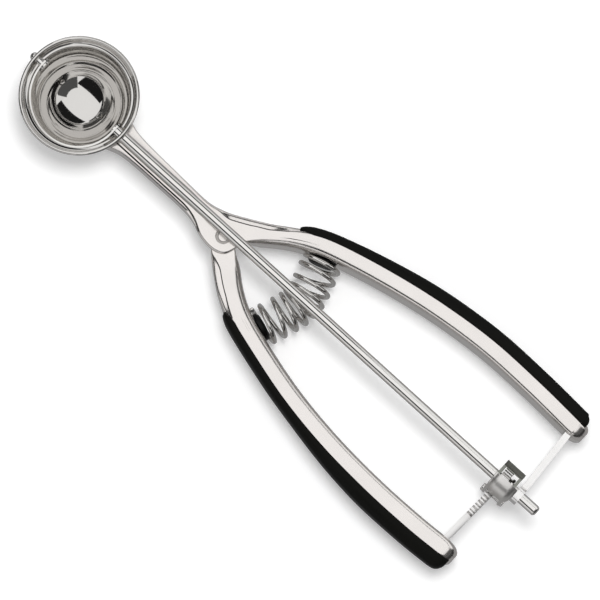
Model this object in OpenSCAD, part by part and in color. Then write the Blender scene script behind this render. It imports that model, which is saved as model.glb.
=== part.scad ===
// Squeeze-handle food scoop.  Two stamped channel handles share one rivet.  A sheet rack on
// the moving handle turns a pinion on the long rod, and the rod sweeps a scraper band
// round the inside of the bowl.  All lengths are in millimetres.
//
// Construction frame: the rod runs along X, the bowl centre is at x = 0, the mouth of the
// bowl is the plane z = 0, the fixed handle lies on the +Y side and the moving one on -Y.
// place() then puts the origin under the middle of the whole tool.

/* [Bowl] */
// Inside radius of the hemisphere
bowl_r = 16.4; // [12:0.1:26]
// Thickness of the pressed bowl sheet
bowl_wall = 0.8; // [0.5:0.1:1.2]
// How far the collar under the rim steps out from the hemisphere
collar_step = 1.5; // [0.8:0.1:2.5]
// Depth of the collar below the mouth
collar_depth = 3.0; // [2.4:0.1:3.4]
// Section radius of the rolled rim
rim_bead_r = 0.65; // [0.5:0.05:0.9]
// Width of the flat that the rolled rim is dressed to
rim_flat = 0.4; // [0.2:0.1:0.8]

/* [Rod] */
// Diameter of the drive rod
rod_d = 3.6; // [3:0.1:4.2]
// Depth of the rod axis below the mouth of the bowl
rod_drop = 3.6; // [3.4:0.1:4.4]
// Free length of rod behind the support arm
rod_stub = 6.9; // [3:0.1:12]
// Radial running clearance of every turning fit
run_fit = 0.05; // [0.02:0.01:0.1]

/* [Scraper] */
// Width of the scraper band at its middle
band_w = 6; // [4:0.5:8]
// Thickness of the scraper band
band_t = 0.6; // [0.4:0.1:0.9]
// Gap between the band and the bowl
band_gap = 0.45; // [0.35:0.05:0.8]
// Diameter of the stud that carries the far end of the band
stud_d = 3; // [2.4:0.1:3.4]

/* [Sheet metal] */
// Sheet thickness of both handles
sheet_t = 1.1; // [0.8:0.1:1.4]
// Gap between the rod and the front faces of the handles
rod_gap = 0.3; // [0.3:0.05:0.6]
// Height that the shoulders of the neck rise beside the rod
groove_rise = 1.3; // [0.6:0.1:1.6]
// Depth of the channels along the grips
channel_depth = 13; // [10:0.5:14]
// Depth of the channel at the neck
neck_depth = 8.6; // [7:0.1:10]

/* [Hinge] */
// Distance from the bowl centre to the hinge rivet
pivot_x = 64; // [62:0.5:66]
// How far the hinge rivet lies to the moving side of the rod
pivot_side = 1.75; // [1:0.05:2.2]
// Shank diameter of the hinge rivet
rivet_d = 4.2; // [3:0.1:4.8]
// Axial gap between the two hinge leaves
leaf_gap = 0.3; // [0.25:0.05:0.6]
// Radius of the moving handle's hinge leaf
leaf_r = 5; // [4.2:0.1:5.4]

/* [Gear] */
// Module of the rack and pinion
tooth_m = 0.8; // [0.6:0.05:0.9]
// Teeth on the pinion
pinion_teeth = 10; // [9:1:12]
// Pressure angle of the teeth
tooth_angle = 25; // [22:1:28]
// Height of a tooth above the pitch line, in modules
tooth_addendum = 0.81; // [0.7:0.01:0.9]
// Gap between meshing flanks
backlash = 0.25; // [0.15:0.05:0.35]
// Distance from the hinge rivet to the middle of the rack
rack_reach = 118; // [116:0.5:120]
// Thickness of the rack and of the support arm
strip_t = 2.2; // [1.6:0.1:2.6]
// Height of the rack and of the support arm
strip_h = 5.8; // [4.5:0.1:7]
// Width of the pinion
pinion_w = 3.1; // [2.6:0.1:3.6]
// Sweep of the scraper from rest to full squeeze, in degrees
sweep = 140; // [110:5:150]

/* [Gear housing] */
// Sheet thickness of the gear housing
housing_t = 1; // [0.8:0.1:1.2]
// Gap between the pinion tips and the housing cover
cover_gap = 0.45; // [0.3:0.05:0.7]
// Inside width of the housing
housing_w = 5.5; // [5.2:0.1:6.2]
// Diameter of the pin that the back of the rack slides on
guide_d = 1.6; // [1.2:0.1:2]

/* [Spring] */
// Outside diameter of the return spring
spring_od = 14; // [12:0.5:14]
// Wire diameter
wire_d = 1.5; // [1:0.1:1.8]
// Working coils between the closed end coils
coils = 7; // [5:1:8]
// Distance of the spring seats from the hinge rivet, along the rod
spring_reach = 28.5; // [27:0.5:33]
// How far the middle of the spring bows towards the handle ends
spring_bow = 4; // [2:0.5:6]

/* [Grips] */
// Rubber thickness over the outer wall at the front of a grip
grip_t = 1.5; // [1.2:0.1:3]
// How much thicker the rubber gets towards the back of a grip
grip_swell = 1.4; // [0:0.1:1.6]
// Height of the rubber crown above the front face
grip_crown = 0.4; // [0.2:0.1:0.8]

/* [Hidden] */

$fn = 64;
eps = 0.01;

// Levels, all below the mouth of the bowl
rod_r = rod_d / 2;
rod_z = -rod_drop;
face_z = rod_z - rod_r - rod_gap;
leaf_z = face_z - sheet_t - leaf_gap;
bowl_out = bowl_r + bowl_wall;
collar_r = bowl_r + collar_step;
rim_ring_r = collar_r + bowl_wall;
rim_r = rim_ring_r + rim_bead_r;

// Gear train
pitch_r = tooth_m * pinion_teeth / 2;
pitch_step = PI * tooth_m;
addendum = tooth_addendum * tooth_m;
dedendum = addendum + 0.2;
pinion_r = pitch_r + addendum;
gear_ratio = rack_reach / pitch_r;
squeeze = sweep / gear_ratio;
pivot = [pivot_x, -pivot_side];
rack_x = pivot_x + rack_reach;
rack_pitch_z = rod_z - pitch_r;
strip_top = face_z - sheet_t - 0.15;
strip_bottom = strip_top - strip_h;

// Stations along the gear housing
housing_x0 = rack_x - 1.8 - housing_t;
housing_x1 = housing_x0 + 2 * housing_t + housing_w;
arm_x = housing_x1 + 1.2;
rod_end_x = arm_x + strip_t + rod_stub;
cover_in = pinion_r + cover_gap;
cover_out = cover_in + housing_t;

// Outline of the stamped handles.  Each row is [outer x, outer y, inner x, inner y]: the two
// edges of the front face, y counted towards the handle's own side.  x and y are measured
// from the bowl centre and the rod.  The rows are drawn for a rivet at 64 and a rack 118
// behind it, and along() stretches them with these two sizes.
function along(x) = x < 64 ? x * pivot_x / 64 : pivot_x + (x - 64) * rack_reach / 118;
function outline(rows) = [for (r = rows) [along(r[0]), r[1], along(r[2]), r[3]]];
fixed_edges = outline([
    [16.0, 6.2, 16.0, -6.0],
    [21.0, 4.5, 21.0, -4.3],
    [27.5, 3.8, 27.5, -3.6],
    [38.0, 3.4, 38.0, -3.4],
    [47.0, 3.1, 47.0, -3.4],
    [54.0, 3.3, 53.0, -4.6],
    [59.5, 4.9, 58.5, -6.8],
    [63.0, 6.5, 64.0, -7.35],
    [65.5, 7.8, 67.96, -5.71],
    [67.6, 8.9, 69.6, -1.75],
    [69.6, 10.0, 70.4, 0.9],
    [73.3, 12.1, 74.6, 4.6],
    [79.0, 15.9, 81.6, 9.8],
    [86.0, 20.2, 88.8, 13.7],
    [95.5, 23.6, 97.6, 16.7],
    [112.0, 27.7, 113.6, 20.8],
    [130.0, 31.0, 131.0, 24.1],
    [150.0, 33.1, 150.3, 26.1],
    [170.0, 33.1, 169.8, 26.1],
    [186.5, 32.4, 186.0, 25.4],
    [188.6, 32.15, 188.4, 25.45],
    [190.0, 31.8, 189.9, 25.7],
    [191.5, 31.1, 191.4, 26.3],
    [192.2, 30.6, 192.2, 26.9]]);
moving_edges = outline([
    [61.5, 4.6, 66.5, -0.9],
    [65.0, 8.6, 70.4, 2.8],
    [69.5, 12.4, 74.5, 5.3],
    [75.4, 16.7, 80.0, 9.7],
    [83.3, 20.7, 86.6, 13.5],
    [93.6, 23.9, 95.9, 16.8],
    [112.7, 28.7, 114.2, 21.5],
    [132.0, 31.6, 132.9, 24.3],
    [152.0, 32.8, 152.2, 25.5],
    [170.0, 32.75, 169.8, 25.4],
    [181.5, 32.1, 181.0, 24.8],
    [183.6, 31.85, 183.4, 24.9],
    [185.2, 31.5, 185.1, 25.2],
    [186.8, 30.9, 186.7, 25.8],
    [187.5, 30.3, 187.5, 26.5]]);

// Section of the stamped handles at the same stations.  Each row is [rise of the shoulders
// above the front face, outer bend, inner bend, outer wall depth, inner wall depth].
bend = 1.9;
tight = 1.1;
plain = sheet_t + 0.06;
hinge_depth = neck_depth + 0.9;
fixed_sections = [
    [groove_rise, tight, tight, neck_depth, neck_depth],
    [groove_rise, tight, tight, neck_depth, neck_depth],
    [groove_rise, tight, tight, neck_depth, neck_depth],
    [groove_rise, tight, tight, neck_depth, neck_depth],
    [groove_rise, tight, tight, neck_depth, neck_depth],
    [groove_rise / 3, 1.3, 1.3, neck_depth, neck_depth - 2.6],
    [0, 1.5, 0.3, hinge_depth, plain],
    [0, bend, 0.3, hinge_depth, plain],
    [0, bend, 0.15, hinge_depth, plain],
    [0, bend, 0.15, hinge_depth, plain],
    [0, bend, 0.6, hinge_depth, 2.4],
    [0, bend, bend, hinge_depth, hinge_depth],
    [0, bend, bend, hinge_depth + 1, hinge_depth + 1],
    [0, bend, bend, channel_depth - 1, channel_depth - 1],
    [0, bend, bend, channel_depth, channel_depth],
    [0, bend, bend, channel_depth, channel_depth],
    [0, bend, bend, channel_depth, channel_depth],
    [0, bend, bend, channel_depth, channel_depth],
    [0, bend, bend, channel_depth - 0.5, channel_depth - 0.5],
    [0, bend, bend, channel_depth - 1, channel_depth - 1],
    [-0.08, bend, bend, channel_depth - 1.5, channel_depth - 1.5],
    [-0.55, bend, bend, channel_depth - 2.3, channel_depth - 2.3],
    [-1.7, 1.6, 1.6, channel_depth - 3.5, channel_depth - 3.5],
    [-3.4, 1.2, 1.2, channel_depth - 6.5, channel_depth - 6.5]];
leaf_drop = leaf_z - face_z;
moving_sections = [
    [leaf_drop, 0.15, 0.15, plain, plain],
    [leaf_drop, 0.5, 0.5, plain, plain],
    [leaf_drop, bend, bend, hinge_depth - 1.4, hinge_depth - 1.4],
    [leaf_drop * 0.4, bend, bend, hinge_depth, hinge_depth],
    [0, bend, bend, channel_depth - 1, channel_depth - 1],
    [0, bend, bend, channel_depth, channel_depth],
    [0, bend, bend, channel_depth, channel_depth],
    [0, bend, bend, channel_depth, channel_depth],
    [0, bend, bend, channel_depth, channel_depth],
    [0, bend, bend, channel_depth - 0.5, channel_depth - 0.5],
    [0, bend, bend, channel_depth - 1, channel_depth - 1],
    [-0.08, bend, bend, channel_depth - 1.5, channel_depth - 1.5],
    [-0.55, bend, bend, channel_depth - 2.3, channel_depth - 2.3],
    [-1.7, 1.6, 1.6, channel_depth - 3.5, channel_depth - 3.5],
    [-3.4, 1.2, 1.2, channel_depth - 6.5, channel_depth - 6.5]];

// Station numbers where the grips begin and end
fixed_grip_span = [12.4, 20.7];
moving_grip_span = [3.8, 12.8];

function spline(a, b, c, d, t) =
    0.5 * (2 * b + (c - a) * t + (2 * a - 5 * b + 4 * c - d) * t * t
    + (3 * b - a - 3 * c + d) * t * t * t);
function edge_at(rows, s) =
    let (n = len(rows) - 1, i = min(floor(s), n - 1), t = s - i)
    spline(rows[max(i - 1, 0)], rows[i], rows[i + 1], rows[min(i + 2, n)], t);
function section_at(rows, s) =
    let (n = len(rows) - 1, i = min(floor(s), n - 1), t = s - i)
    rows[i] * (1 - t) + rows[i + 1] * t;
function steps(n, per) = [for (k = [0 : n * per]) k / per];
// Middle of the front face and station number at a place along the rod
function middle_at(rows, x) = lookup(x, [for (r = rows) [(r[0] + r[2]) / 2, (r[1] + r[3]) / 2]]);
function station_at(rows, x) = lookup(x, [for (i = [0 : len(rows) - 1]) [rows[i][2], i]]);

// A ring of the channel section, in [distance from the inner edge, height over the face]
bend_steps = 4;
function bend_arc(r, from, to) =
    [for (k = [0 : bend_steps]) let (a = from + (to - from) * k / bend_steps)
        r * [cos(a), sin(a)]];
function crown(c, half, drop, side, depth) =
    [for (k = [-2 : 2]) [c + side * half * k / 2, depth - drop * cos(45 * k)]];
function channel_ring(w, mid, drop, ro, ri, ho, hi) =
    let (qo = max(ro - sheet_t, 0.05), qi = max(ri - sheet_t, 0.05),
        lo = max(ro, sheet_t + qo), li = max(ri, sheet_t + qi),
        half = max(min(rod_r + rod_gap, mid - li - 0.15, w - lo - mid - 0.15), 0.1))
    concat(
        [[0, -hi]],
        [for (p = bend_arc(ri, 180, 90)) p + [ri, -ri]],
        crown(mid, half, drop, 1, 0),
        [for (p = bend_arc(ro, 90, 0)) p + [w - ro, -ro]],
        [[w, -ho], [w - sheet_t, -ho]],
        [for (p = bend_arc(qo, 0, 90)) p + [w - sheet_t - qo, -sheet_t - qo]],
        crown(mid, half, drop, -1, -sheet_t),
        [for (p = bend_arc(qi, 90, 180)) p + [sheet_t + qi, -sheet_t - qi]],
        [[sheet_t, -hi]]);
function channel_station(edges, sections, s) =
    let (e = edge_at(edges, s), c = section_at(sections, s),
        o = [e[0], e[1]], i = [e[2], e[3]], w = norm(o - i), u = (o - i) / w,
        mid = w * min(max(-i[1] / (o[1] - i[1]), 0.46), 0.54))
    [for (p = channel_ring(w, mid, max(c[0], 0), c[1], c[2], c[3], c[4]))
        [i[0] + u[0] * p[0], i[1] + u[1] * p[0], face_z + c[0] + p[1]]];

// A solid through a list of rings with equal numbers of points.  A channel ring runs out
// along one skin and back along the other, so its end faces are strips across the sheet.
module loft(rings, sheet = false) {
    m = len(rings[0]);
    n = len(rings);
    last = (n - 1) * m;
    sides = [for (i = [0 : n - 2], j = [0 : m - 1], half = [0, 1])
        let (a = i * m + j, b = i * m + (j + 1) % m)
        half == 0 ? [a, b, a + m] : [b, b + m, a + m]];
    strip = [for (j = [0 : m / 2 - 2], half = [0, 1])
        half == 0 ? [j, m - 1 - j, j + 1] : [j + 1, m - 1 - j, m - 2 - j]];
    start_cap = sheet ? strip : [[for (j = [m - 1 : -1 : 0]) j]];
    end_cap = sheet ? [for (f = strip) [last + f[0], last + f[2], last + f[1]]]
        : [[for (j = [0 : m - 1]) last + j]];
    polyhedron(points = [for (r = rings) for (p = r) p],
        faces = concat(sides, start_cap, end_cap), convexity = 8);
}

// A ring of grip section, in [distance outwards from the outer wall, height over the face]
function grip_ring(r, h, t) =
    let (seat = 0.05, low = -h + 0.6)
    concat(
        [[seat, low]],
        [for (p = bend_arc(r + seat, 0, 90)) p + [-r, -r]],
        [[-r, grip_crown], [-r * 0.45, grip_crown], [t * 0.3, grip_crown - 0.25],
        [t * 0.75, -0.65], [t, -2.1], [t + 0.15, -h / 2], [t, low + 2.2],
        [t * 0.7, low + 0.7], [t * 0.3, low]]);
function grip_station(edges, sections, s, t) =
    let (e = edge_at(edges, s), c = section_at(sections, s),
        o = [e[0], e[1]], i = [e[2], e[3]], u = (o - i) / norm(o - i))
    [for (p = grip_ring(c[1], c[3], t))
        [o[0] + u[0] * p[0], o[1] + u[1] * p[0], face_z + c[0] + p[1]]];
// The rubber starts as a thin lip, swells in the first half of the grip and thins a little
// at its back end
function ease(t) = let (c = max(min(t, 1), 0)) c * c * (3 - 2 * c);
function grip_profile(f, swell_from) =
    (f < 0.04 ? 0.35 + 0.65 * sin(90 * f / 0.04)
    : f > 0.985 ? 0.75 + 0.25 * cos(90 * (f - 0.985) / 0.015) : 1)
    * (grip_t + grip_swell * ease((f - swell_from) / 0.35));
// Between its ends the rubber follows the same half stations as the steel
function grip_stations(from, n) = concat(
    [for (f = [0, 0.012, 0.04]) from + n * f],
    [for (s = [ceil(2 * (from + n * 0.045)) / 2 : 0.5 : from + n * 0.98]) s],
    [for (f = [0.985, 1]) from + n * f]);
module grip(edges, sections, span, swell_from) {
    n = span[1] - span[0];
    loft([for (s = grip_stations(span[0], n))
        grip_station(edges, sections, s, grip_profile((s - span[0]) / n, swell_from))]);
}

// Places the construction frame in the part's own frame
stud_head_r = 1.45;
stud_end_x = -(rim_r + 1.55);
module place() {
    translate([-(rod_end_x + stud_end_x) / 2, 0, bowl_out - rod_z]) children();
}
// The moving handle's own side is -Y
module on_moving_side() {
    mirror([0, 1, 0]) children();
}
// Draws a profile in [y, height over the rod axis] from x0 on, t thick
module along_rod(x0, t) {
    translate([x0, 0, rod_z]) rotate([90, 0, 90]) linear_extrude(t) children();
}
// Turns a profile in [radius, x] about the rod axis
module about_rod() {
    translate([0, 0, rod_z]) rotate([0, 90, 0]) rotate_extrude() children();
}

module bowl_skin(r, top) {
    intersection() {
        translate([0, 0, rod_z]) sphere(r, $fn = 96);
        translate([0, 0, rod_z - r - 1]) cylinder(h = r + 1 + top, r = r + 1);
    }
}
module bowl() {
    ledge_z = -collar_depth - bowl_wall;
    bead_z = -sqrt(rim_bead_r ^ 2 - (rim_flat / 2) ^ 2);
    color("silver") difference() {
        union() {
            bowl_skin(bowl_out, rod_drop - collar_depth - bowl_wall / 2);
            rotate_extrude($fn = 96) {
                difference() {
                    translate([bowl_r - 0.4, ledge_z])
                        square([rim_ring_r - bowl_r + 0.4, collar_depth + bowl_wall + bead_z]);
                    translate([bowl_r, ledge_z + bowl_wall])
                        square([collar_r - bowl_r, collar_depth + 1]);
                }
                intersection() {
                    translate([rim_ring_r, bead_z]) circle(rim_bead_r, $fn = 32);
                    translate([collar_r - 1, -2 * rim_bead_r - 1])
                        square([4, 2 * rim_bead_r + 1]);
                }
            }
        }
        bowl_skin(bowl_r, rod_drop + 1);
        translate([0, 0, -collar_depth]) cylinder(h = collar_depth + 1, r = bowl_r);
        translate([0, 0, rod_z]) rotate([0, 90, 0]) cylinder(h = 40, r = rod_r + run_fit);
        translate([0, 0, rod_z]) rotate([0, -90, 0]) cylinder(h = 40, d = stud_d);
    }
}

// The band is a strip bent round the rod axis; its ends are eyes on that axis
band_out = bowl_r - band_gap;
band_in = band_out - band_t;
eye_r = 2.7;
tenon_r = 1.2;
module scraper_band() {
    color("silver") translate([0, 0, rod_z]) rotate([-sweep / 2, 0, 0]) difference() {
        union() {
            intersection() {
                rotate([90, 0, 0]) difference() {
                    cylinder(h = band_w, r = band_out, center = true, $fn = 96);
                    cylinder(h = band_w + 1, r = band_in, center = true, $fn = 96);
                }
                translate([0, 0, -band_out - 1]) linear_extrude(band_out + 1) polygon([
                    [-band_out - 1, -eye_r], [-band_out * 0.8, -eye_r],
                    [-band_out * 0.45, -band_w / 2], [band_out * 0.45, -band_w / 2],
                    [band_out * 0.8, -eye_r], [band_out + 1, -eye_r],
                    [band_out + 1, eye_r], [band_out * 0.8, eye_r],
                    [band_out * 0.45, band_w / 2], [-band_out * 0.45, band_w / 2],
                    [-band_out * 0.8, eye_r], [-band_out - 1, eye_r]]);
            }
            for (side = [-1, 1]) translate([side * (band_out + band_in) / 2, 0, 0])
                rotate([0, 90, 0]) cylinder(h = band_t, r = eye_r, center = true);
        }
        rotate([0, 90, 0]) cylinder(h = 30, r = tenon_r);
        rotate([0, -90, 0]) cylinder(h = 30, r = stud_d / 2 + run_fit);
    }
}
module scraper_stud() {
    color("silver") about_rod() {
        translate([0, -rim_ring_r]) square([stud_d / 2, rim_ring_r - band_in + 0.2]);
        translate([0, -band_in + 0.15]) square([stud_d / 2 + 0.7, 0.6]);
        intersection() {
            translate([0, stud_end_x + stud_head_r]) circle(stud_head_r);
            translate([0, stud_end_x]) square([stud_head_r, 2 * stud_head_r]);
        }
    }
}

// Shoulder against the band, peened tenon inside it and a rounded free end
module rod() {
    shoulder = band_out + 0.02;
    color("silver") about_rod() {
        difference() {
            translate([0, shoulder]) square([rod_r, rod_end_x - shoulder]);
            translate([rod_r, rod_end_x]) rotate(45) square([1.1, 1.1], center = true);
        }
        translate([0, band_in - 0.7]) square([tenon_r, shoulder - band_in + 0.7 + eps]);
        translate([0, band_in - 0.72]) square([tenon_r + 0.6, 0.7]);
    }
}

// Half outline of one involute tooth, from the root outwards
base_r = pitch_r * cos(tooth_angle);
root_r = pitch_r - dedendum;
function involute(a) = tan(a) * 180 / PI - a;
half_tooth = (pitch_step - backlash) / 4 / pitch_r * 180 / PI;
function flank_angle(r) =
    half_tooth + involute(tooth_angle) - involute(acos(base_r / max(r, base_r)));
flank = [for (r = [root_r, base_r, (base_r + pitch_r) / 2, pitch_r,
    (pitch_r + pinion_r) / 2, pinion_r]) [r, flank_angle(r)]];
module pinion() {
    step = 360 / pinion_teeth;
    color("gainsboro") translate([0, 0, rod_z]) rotate([-sweep / 2, 0, 0])
        translate([rack_x - pinion_w / 2 + 0.1, 0, 0]) rotate([90, 0, 90])
        difference() {
            linear_extrude(pinion_w) polygon([for (k = [0 : pinion_teeth - 1])
                for (side = [-1, 1]) for (j = [0 : len(flank) - 1])
                    let (f = flank[side < 0 ? j : len(flank) - 1 - j],
                        a = -90 + k * step + side * f[1])
                    f[0] * [cos(a), sin(a)]]);
            translate([0, 0, -1]) cylinder(h = pinion_w + 2, r = rod_r);
        }
}
module pinion_spacer() {
    x0 = rack_x + pinion_w / 2 + 0.1;
    x1 = housing_x1 - housing_t - 0.15;
    color("silver") about_rod() {
        translate([rod_r, x0]) square([0.6, x1 - x0]);
        translate([rod_r, x1 - 1]) square([1.2, 1]);
    }
}

// The rack in its mid-travel place: local x is its distance from the rivet
module rack_teeth() {
    flat = pitch_step / 2 - backlash / 2;
    lean = tan(tooth_angle);
    for (k = [-4 : 3]) translate([pivot_side + (k + 0.5) * pitch_step, 0]) polygon([
        [-flat / 2 - lean * dedendum, -dedendum - eps], [-flat / 2 + lean * addendum, addendum],
        [flat / 2 - lean * addendum, addendum], [flat / 2 + lean * dedendum, -dedendum - eps]]);
}
// Middle of the moving handle's channel where the rack's tab lies in it
tab_l = 6.2;
tab_w = 3.2;
tab_t = 1.2;
channel_y = middle_at(moving_edges, rack_x - tab_l / 2);
rack_root_y = rack_reach * sin(squeeze / 2) + pivot_side - channel_y;
rack_tip_y = pivot_side + 3.5 * pitch_step + 0.9;
module rack() {
    z_root = rack_pitch_z - dedendum;
    color("gainsboro") translate([pivot[0], pivot[1], 0]) rotate(-squeeze / 2) {
        translate([rack_reach - strip_t / 2, 0, 0]) rotate([90, 0, 90]) linear_extrude(strip_t) {
            translate([0, rack_pitch_z]) rack_teeth();
            translate([rack_root_y, strip_bottom])
                square([rack_tip_y - rack_root_y, z_root - strip_bottom]);
            translate([rack_root_y, strip_bottom])
                square([pivot_side - 4 * pitch_step - rack_root_y, strip_h]);
        }
        difference() {
            translate([rack_reach + strip_t / 2 - tab_l, rack_root_y - tab_w / 2,
                strip_top - tab_t]) cube([tab_l, tab_w, tab_t]);
            translate([rack_reach - tab_l / 2 - 0.6, rack_root_y, strip_top - 5])
                cylinder(h = 8, r = 1);
        }
    }
}
// Flush head in the front face, shank through the tab, formed head under it
module strip_rivet(at, turn) {
    color("silver") translate([at[0], at[1], 0]) rotate(turn) {
        translate([0, 0, strip_top - tab_t - 0.6]) cylinder(h = face_z - strip_top + tab_t + 0.6, r = 1);
        translate([0, 0, strip_top - tab_t - 0.7]) cylinder(h = 0.65, r = 1.7);
    }
}
function rack_point(x, y) =
    let (a = -squeeze / 2) pivot + [x * cos(a) - y * sin(a), x * sin(a) + y * cos(a)];
rack_rivet_at = rack_point(rack_reach - tab_l / 2 - 0.6, rack_root_y);
module rack_rivet() {
    strip_rivet(rack_rivet_at, 0);
}

// The arm comes out of the fixed handle and carries the back end of the rod
arm_root = [arm_x - 0.4, middle_at(fixed_edges, arm_x - 2)];
arm_rivet_at = [arm_root[0] + strip_t / 2 - tab_l / 2 - 0.6, arm_root[1]];
module support_arm() {
    mid = arm_x + strip_t / 2;
    color("gainsboro") difference() {
        union() {
            along_rod(arm_x, strip_t) circle(5);
            along_rod(arm_x, strip_t) translate([0, strip_bottom - rod_z])
                square([5.5, strip_h]);
            translate([0, 0, strip_bottom]) linear_extrude(strip_h) polygon([
                [mid - strip_t / 2, 5.4], [mid + strip_t / 2, 5.4],
                [arm_root[0] + strip_t / 2, arm_root[1] - 1.6],
                [arm_root[0] - strip_t / 2, arm_root[1] - 1.6]]);
            translate([arm_root[0] + strip_t / 2 - tab_l, arm_root[1] - tab_w / 2,
                strip_top - tab_t]) cube([tab_l, tab_w, tab_t]);
        }
        translate([0, 0, rod_z]) rotate([0, 90, 0]) cylinder(h = 400, r = rod_r + run_fit);
        translate([arm_rivet_at[0], arm_rivet_at[1], strip_top - 5]) cylinder(h = 8, r = 1);
    }
}
module arm_rivet() {
    strip_rivet(arm_rivet_at, 0);
}

// Two cheeks on the rod, a wall on the fixed side and a rolled cover on the moving side
guide_at = [-4.4, strip_bottom - rod_z - guide_d / 2 - 0.1];
cheek_low = guide_at[1] - guide_d / 2 - 1.1;
module cheek() {
    difference() {
        union() {
            circle(cover_out);
            translate([0, -2.2]) square([cover_out, 2.2 + cover_out * 0.72]);
            translate([-cover_out, cheek_low]) square([2 * cover_out, -cheek_low - 1]);
        }
        circle(rod_r + run_fit);
        translate(guide_at) circle(guide_d / 2);
        translate([cover_out, cheek_low]) rotate(45) square(5.4, center = true);
    }
}
module gear_housing() {
    wall_low = strip_top + 0.6 - rod_z;
    color("silver") difference() {
        union() {
            along_rod(housing_x0, housing_t) cheek();
            along_rod(housing_x1 - housing_t, housing_t) cheek();
            along_rod(housing_x0, housing_x1 - housing_x0) translate([cover_out - housing_t, wall_low])
                square([housing_t, cover_out * 0.72 - wall_low]);
            along_rod(housing_x0, arm_x - housing_x0) difference() {
                circle(cover_out);
                circle(cover_in);
                translate([0.4, -20]) square([20, 40]);
                translate([-20, -20]) square([40, 20 - 1.9]);
            }
        }
        translate([rack_x - 40, 0, rod_z]) rotate([0, 90, 0]) cylinder(h = 80, r = rod_r + run_fit);
    }
}
module rack_guide_pin() {
    color("silver") along_rod(housing_x0 - 0.05, housing_x1 - housing_x0 + 0.1)
        translate(guide_at) circle(guide_d / 2);
    color("silver") along_rod(housing_x0 - 0.75, 0.7) translate(guide_at) circle(guide_d / 2 + 0.5);
    color("silver") along_rod(housing_x1 + 0.05, 0.6) translate(guide_at) circle(guide_d / 2 + 0.4);
}

// Spring seats: a button on each inner wall, with its shank through the wall
spring_z = face_z - spring_od / 2 - 0.35;
spring_r = (spring_od - wire_d) / 2;
seat_stations = [station_at(fixed_edges, pivot_x + spring_reach),
    station_at(moving_edges, pivot_x + spring_reach)];
function wall_point(edges, s) = let (e = edge_at(edges, s)) [e[2], e[3]];
function wall_normal(edges, s) =
    let (a = wall_point(edges, s - 0.1), b = wall_point(edges, s + 0.1), d = (b - a) / norm(b - a))
    [d[1], -d[0]];
fixed_seat = wall_point(fixed_edges, seat_stations[0]);
fixed_seat_n = wall_normal(fixed_edges, seat_stations[0]);
moving_seat = wall_point(moving_edges, seat_stations[1]);
moving_seat_n = wall_normal(moving_edges, seat_stations[1]);
module at_seat(p, n) {
    translate([p[0], p[1], spring_z]) rotate([0, 90, atan2(n[1], n[0])]) children();
}
// The inner walls are a little hollow, so the button and the wire stand off by seat_lift
button_r = spring_od / 2 - wire_d - 0.8;
seat_lift = 0.35;
module seat_button() {
    translate([0, 0, seat_lift]) cylinder(h = 1.1, r = button_r);
    translate([0, 0, seat_lift + 1.1 - eps]) cylinder(h = 0.8, r1 = button_r, r2 = button_r - 0.9);
    translate([0, 0, -sheet_t - 0.6]) cylinder(h = sheet_t + seat_lift + 0.8, r = 1.5);
    translate([0, 0, -sheet_t - 0.9]) cylinder(h = 0.7, r = 2.3);
}
module seat_bore() {
    translate([0, 0, -sheet_t - 1]) cylinder(h = sheet_t + 2, r = 1.5);
}

module fixed_handle() {
    color("silver") difference() {
        loft([for (s = steps(len(fixed_edges) - 1, 2))
            channel_station(fixed_edges, fixed_sections, s)], sheet = true);
        translate([0, 0, rod_z]) sphere(bowl_out + 0.02, $fn = 96);
        translate([pivot[0], pivot[1], face_z - 4]) cylinder(h = 8, d = rivet_d);
        translate([pivot[0], pivot[1], face_z - 0.6])
            cylinder(h = 0.9, r1 = rivet_d / 2, r2 = rivet_d / 2 + 1.8);
        translate([arm_rivet_at[0], arm_rivet_at[1], face_z - 4]) cylinder(h = 8, r = 1);
        translate([arm_root[0] - strip_t / 2 - 0.1, arm_root[1] - 6, strip_bottom - 0.2])
            cube([strip_t + 0.4, 6, strip_h + 0.25]);
        at_seat(fixed_seat, fixed_seat_n) seat_bore();
    }
}
module moving_handle() {
    color("silver") difference() {
        union() {
            on_moving_side() loft([for (s = steps(len(moving_edges) - 1, 2))
                channel_station(moving_edges, moving_sections, s)], sheet = true);
            translate([pivot[0], pivot[1], leaf_z - sheet_t]) cylinder(h = sheet_t, r = leaf_r);
        }
        translate([pivot[0], pivot[1], leaf_z - 4]) cylinder(h = 8, r = rivet_d / 2 + run_fit);
        translate([rack_rivet_at[0], rack_rivet_at[1], face_z - 4]) cylinder(h = 8, r = 1);
        translate([pivot[0], pivot[1], strip_bottom - 0.2]) rotate(-squeeze / 2)
            translate([rack_reach - strip_t / 2 - 0.1, rack_root_y - 0.2, 0])
            cube([strip_t + 0.2, 6, strip_h + 0.25]);
        on_moving_side() at_seat(moving_seat, moving_seat_n) seat_bore();
    }
}
module fixed_grip() {
    color([0.1, 0.1, 0.1]) grip(fixed_edges, fixed_sections, fixed_grip_span, 0.12);
}
module moving_grip() {
    color([0.1, 0.1, 0.1]) on_moving_side()
        grip(moving_edges, moving_sections, moving_grip_span, 0.16);
}

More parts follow.
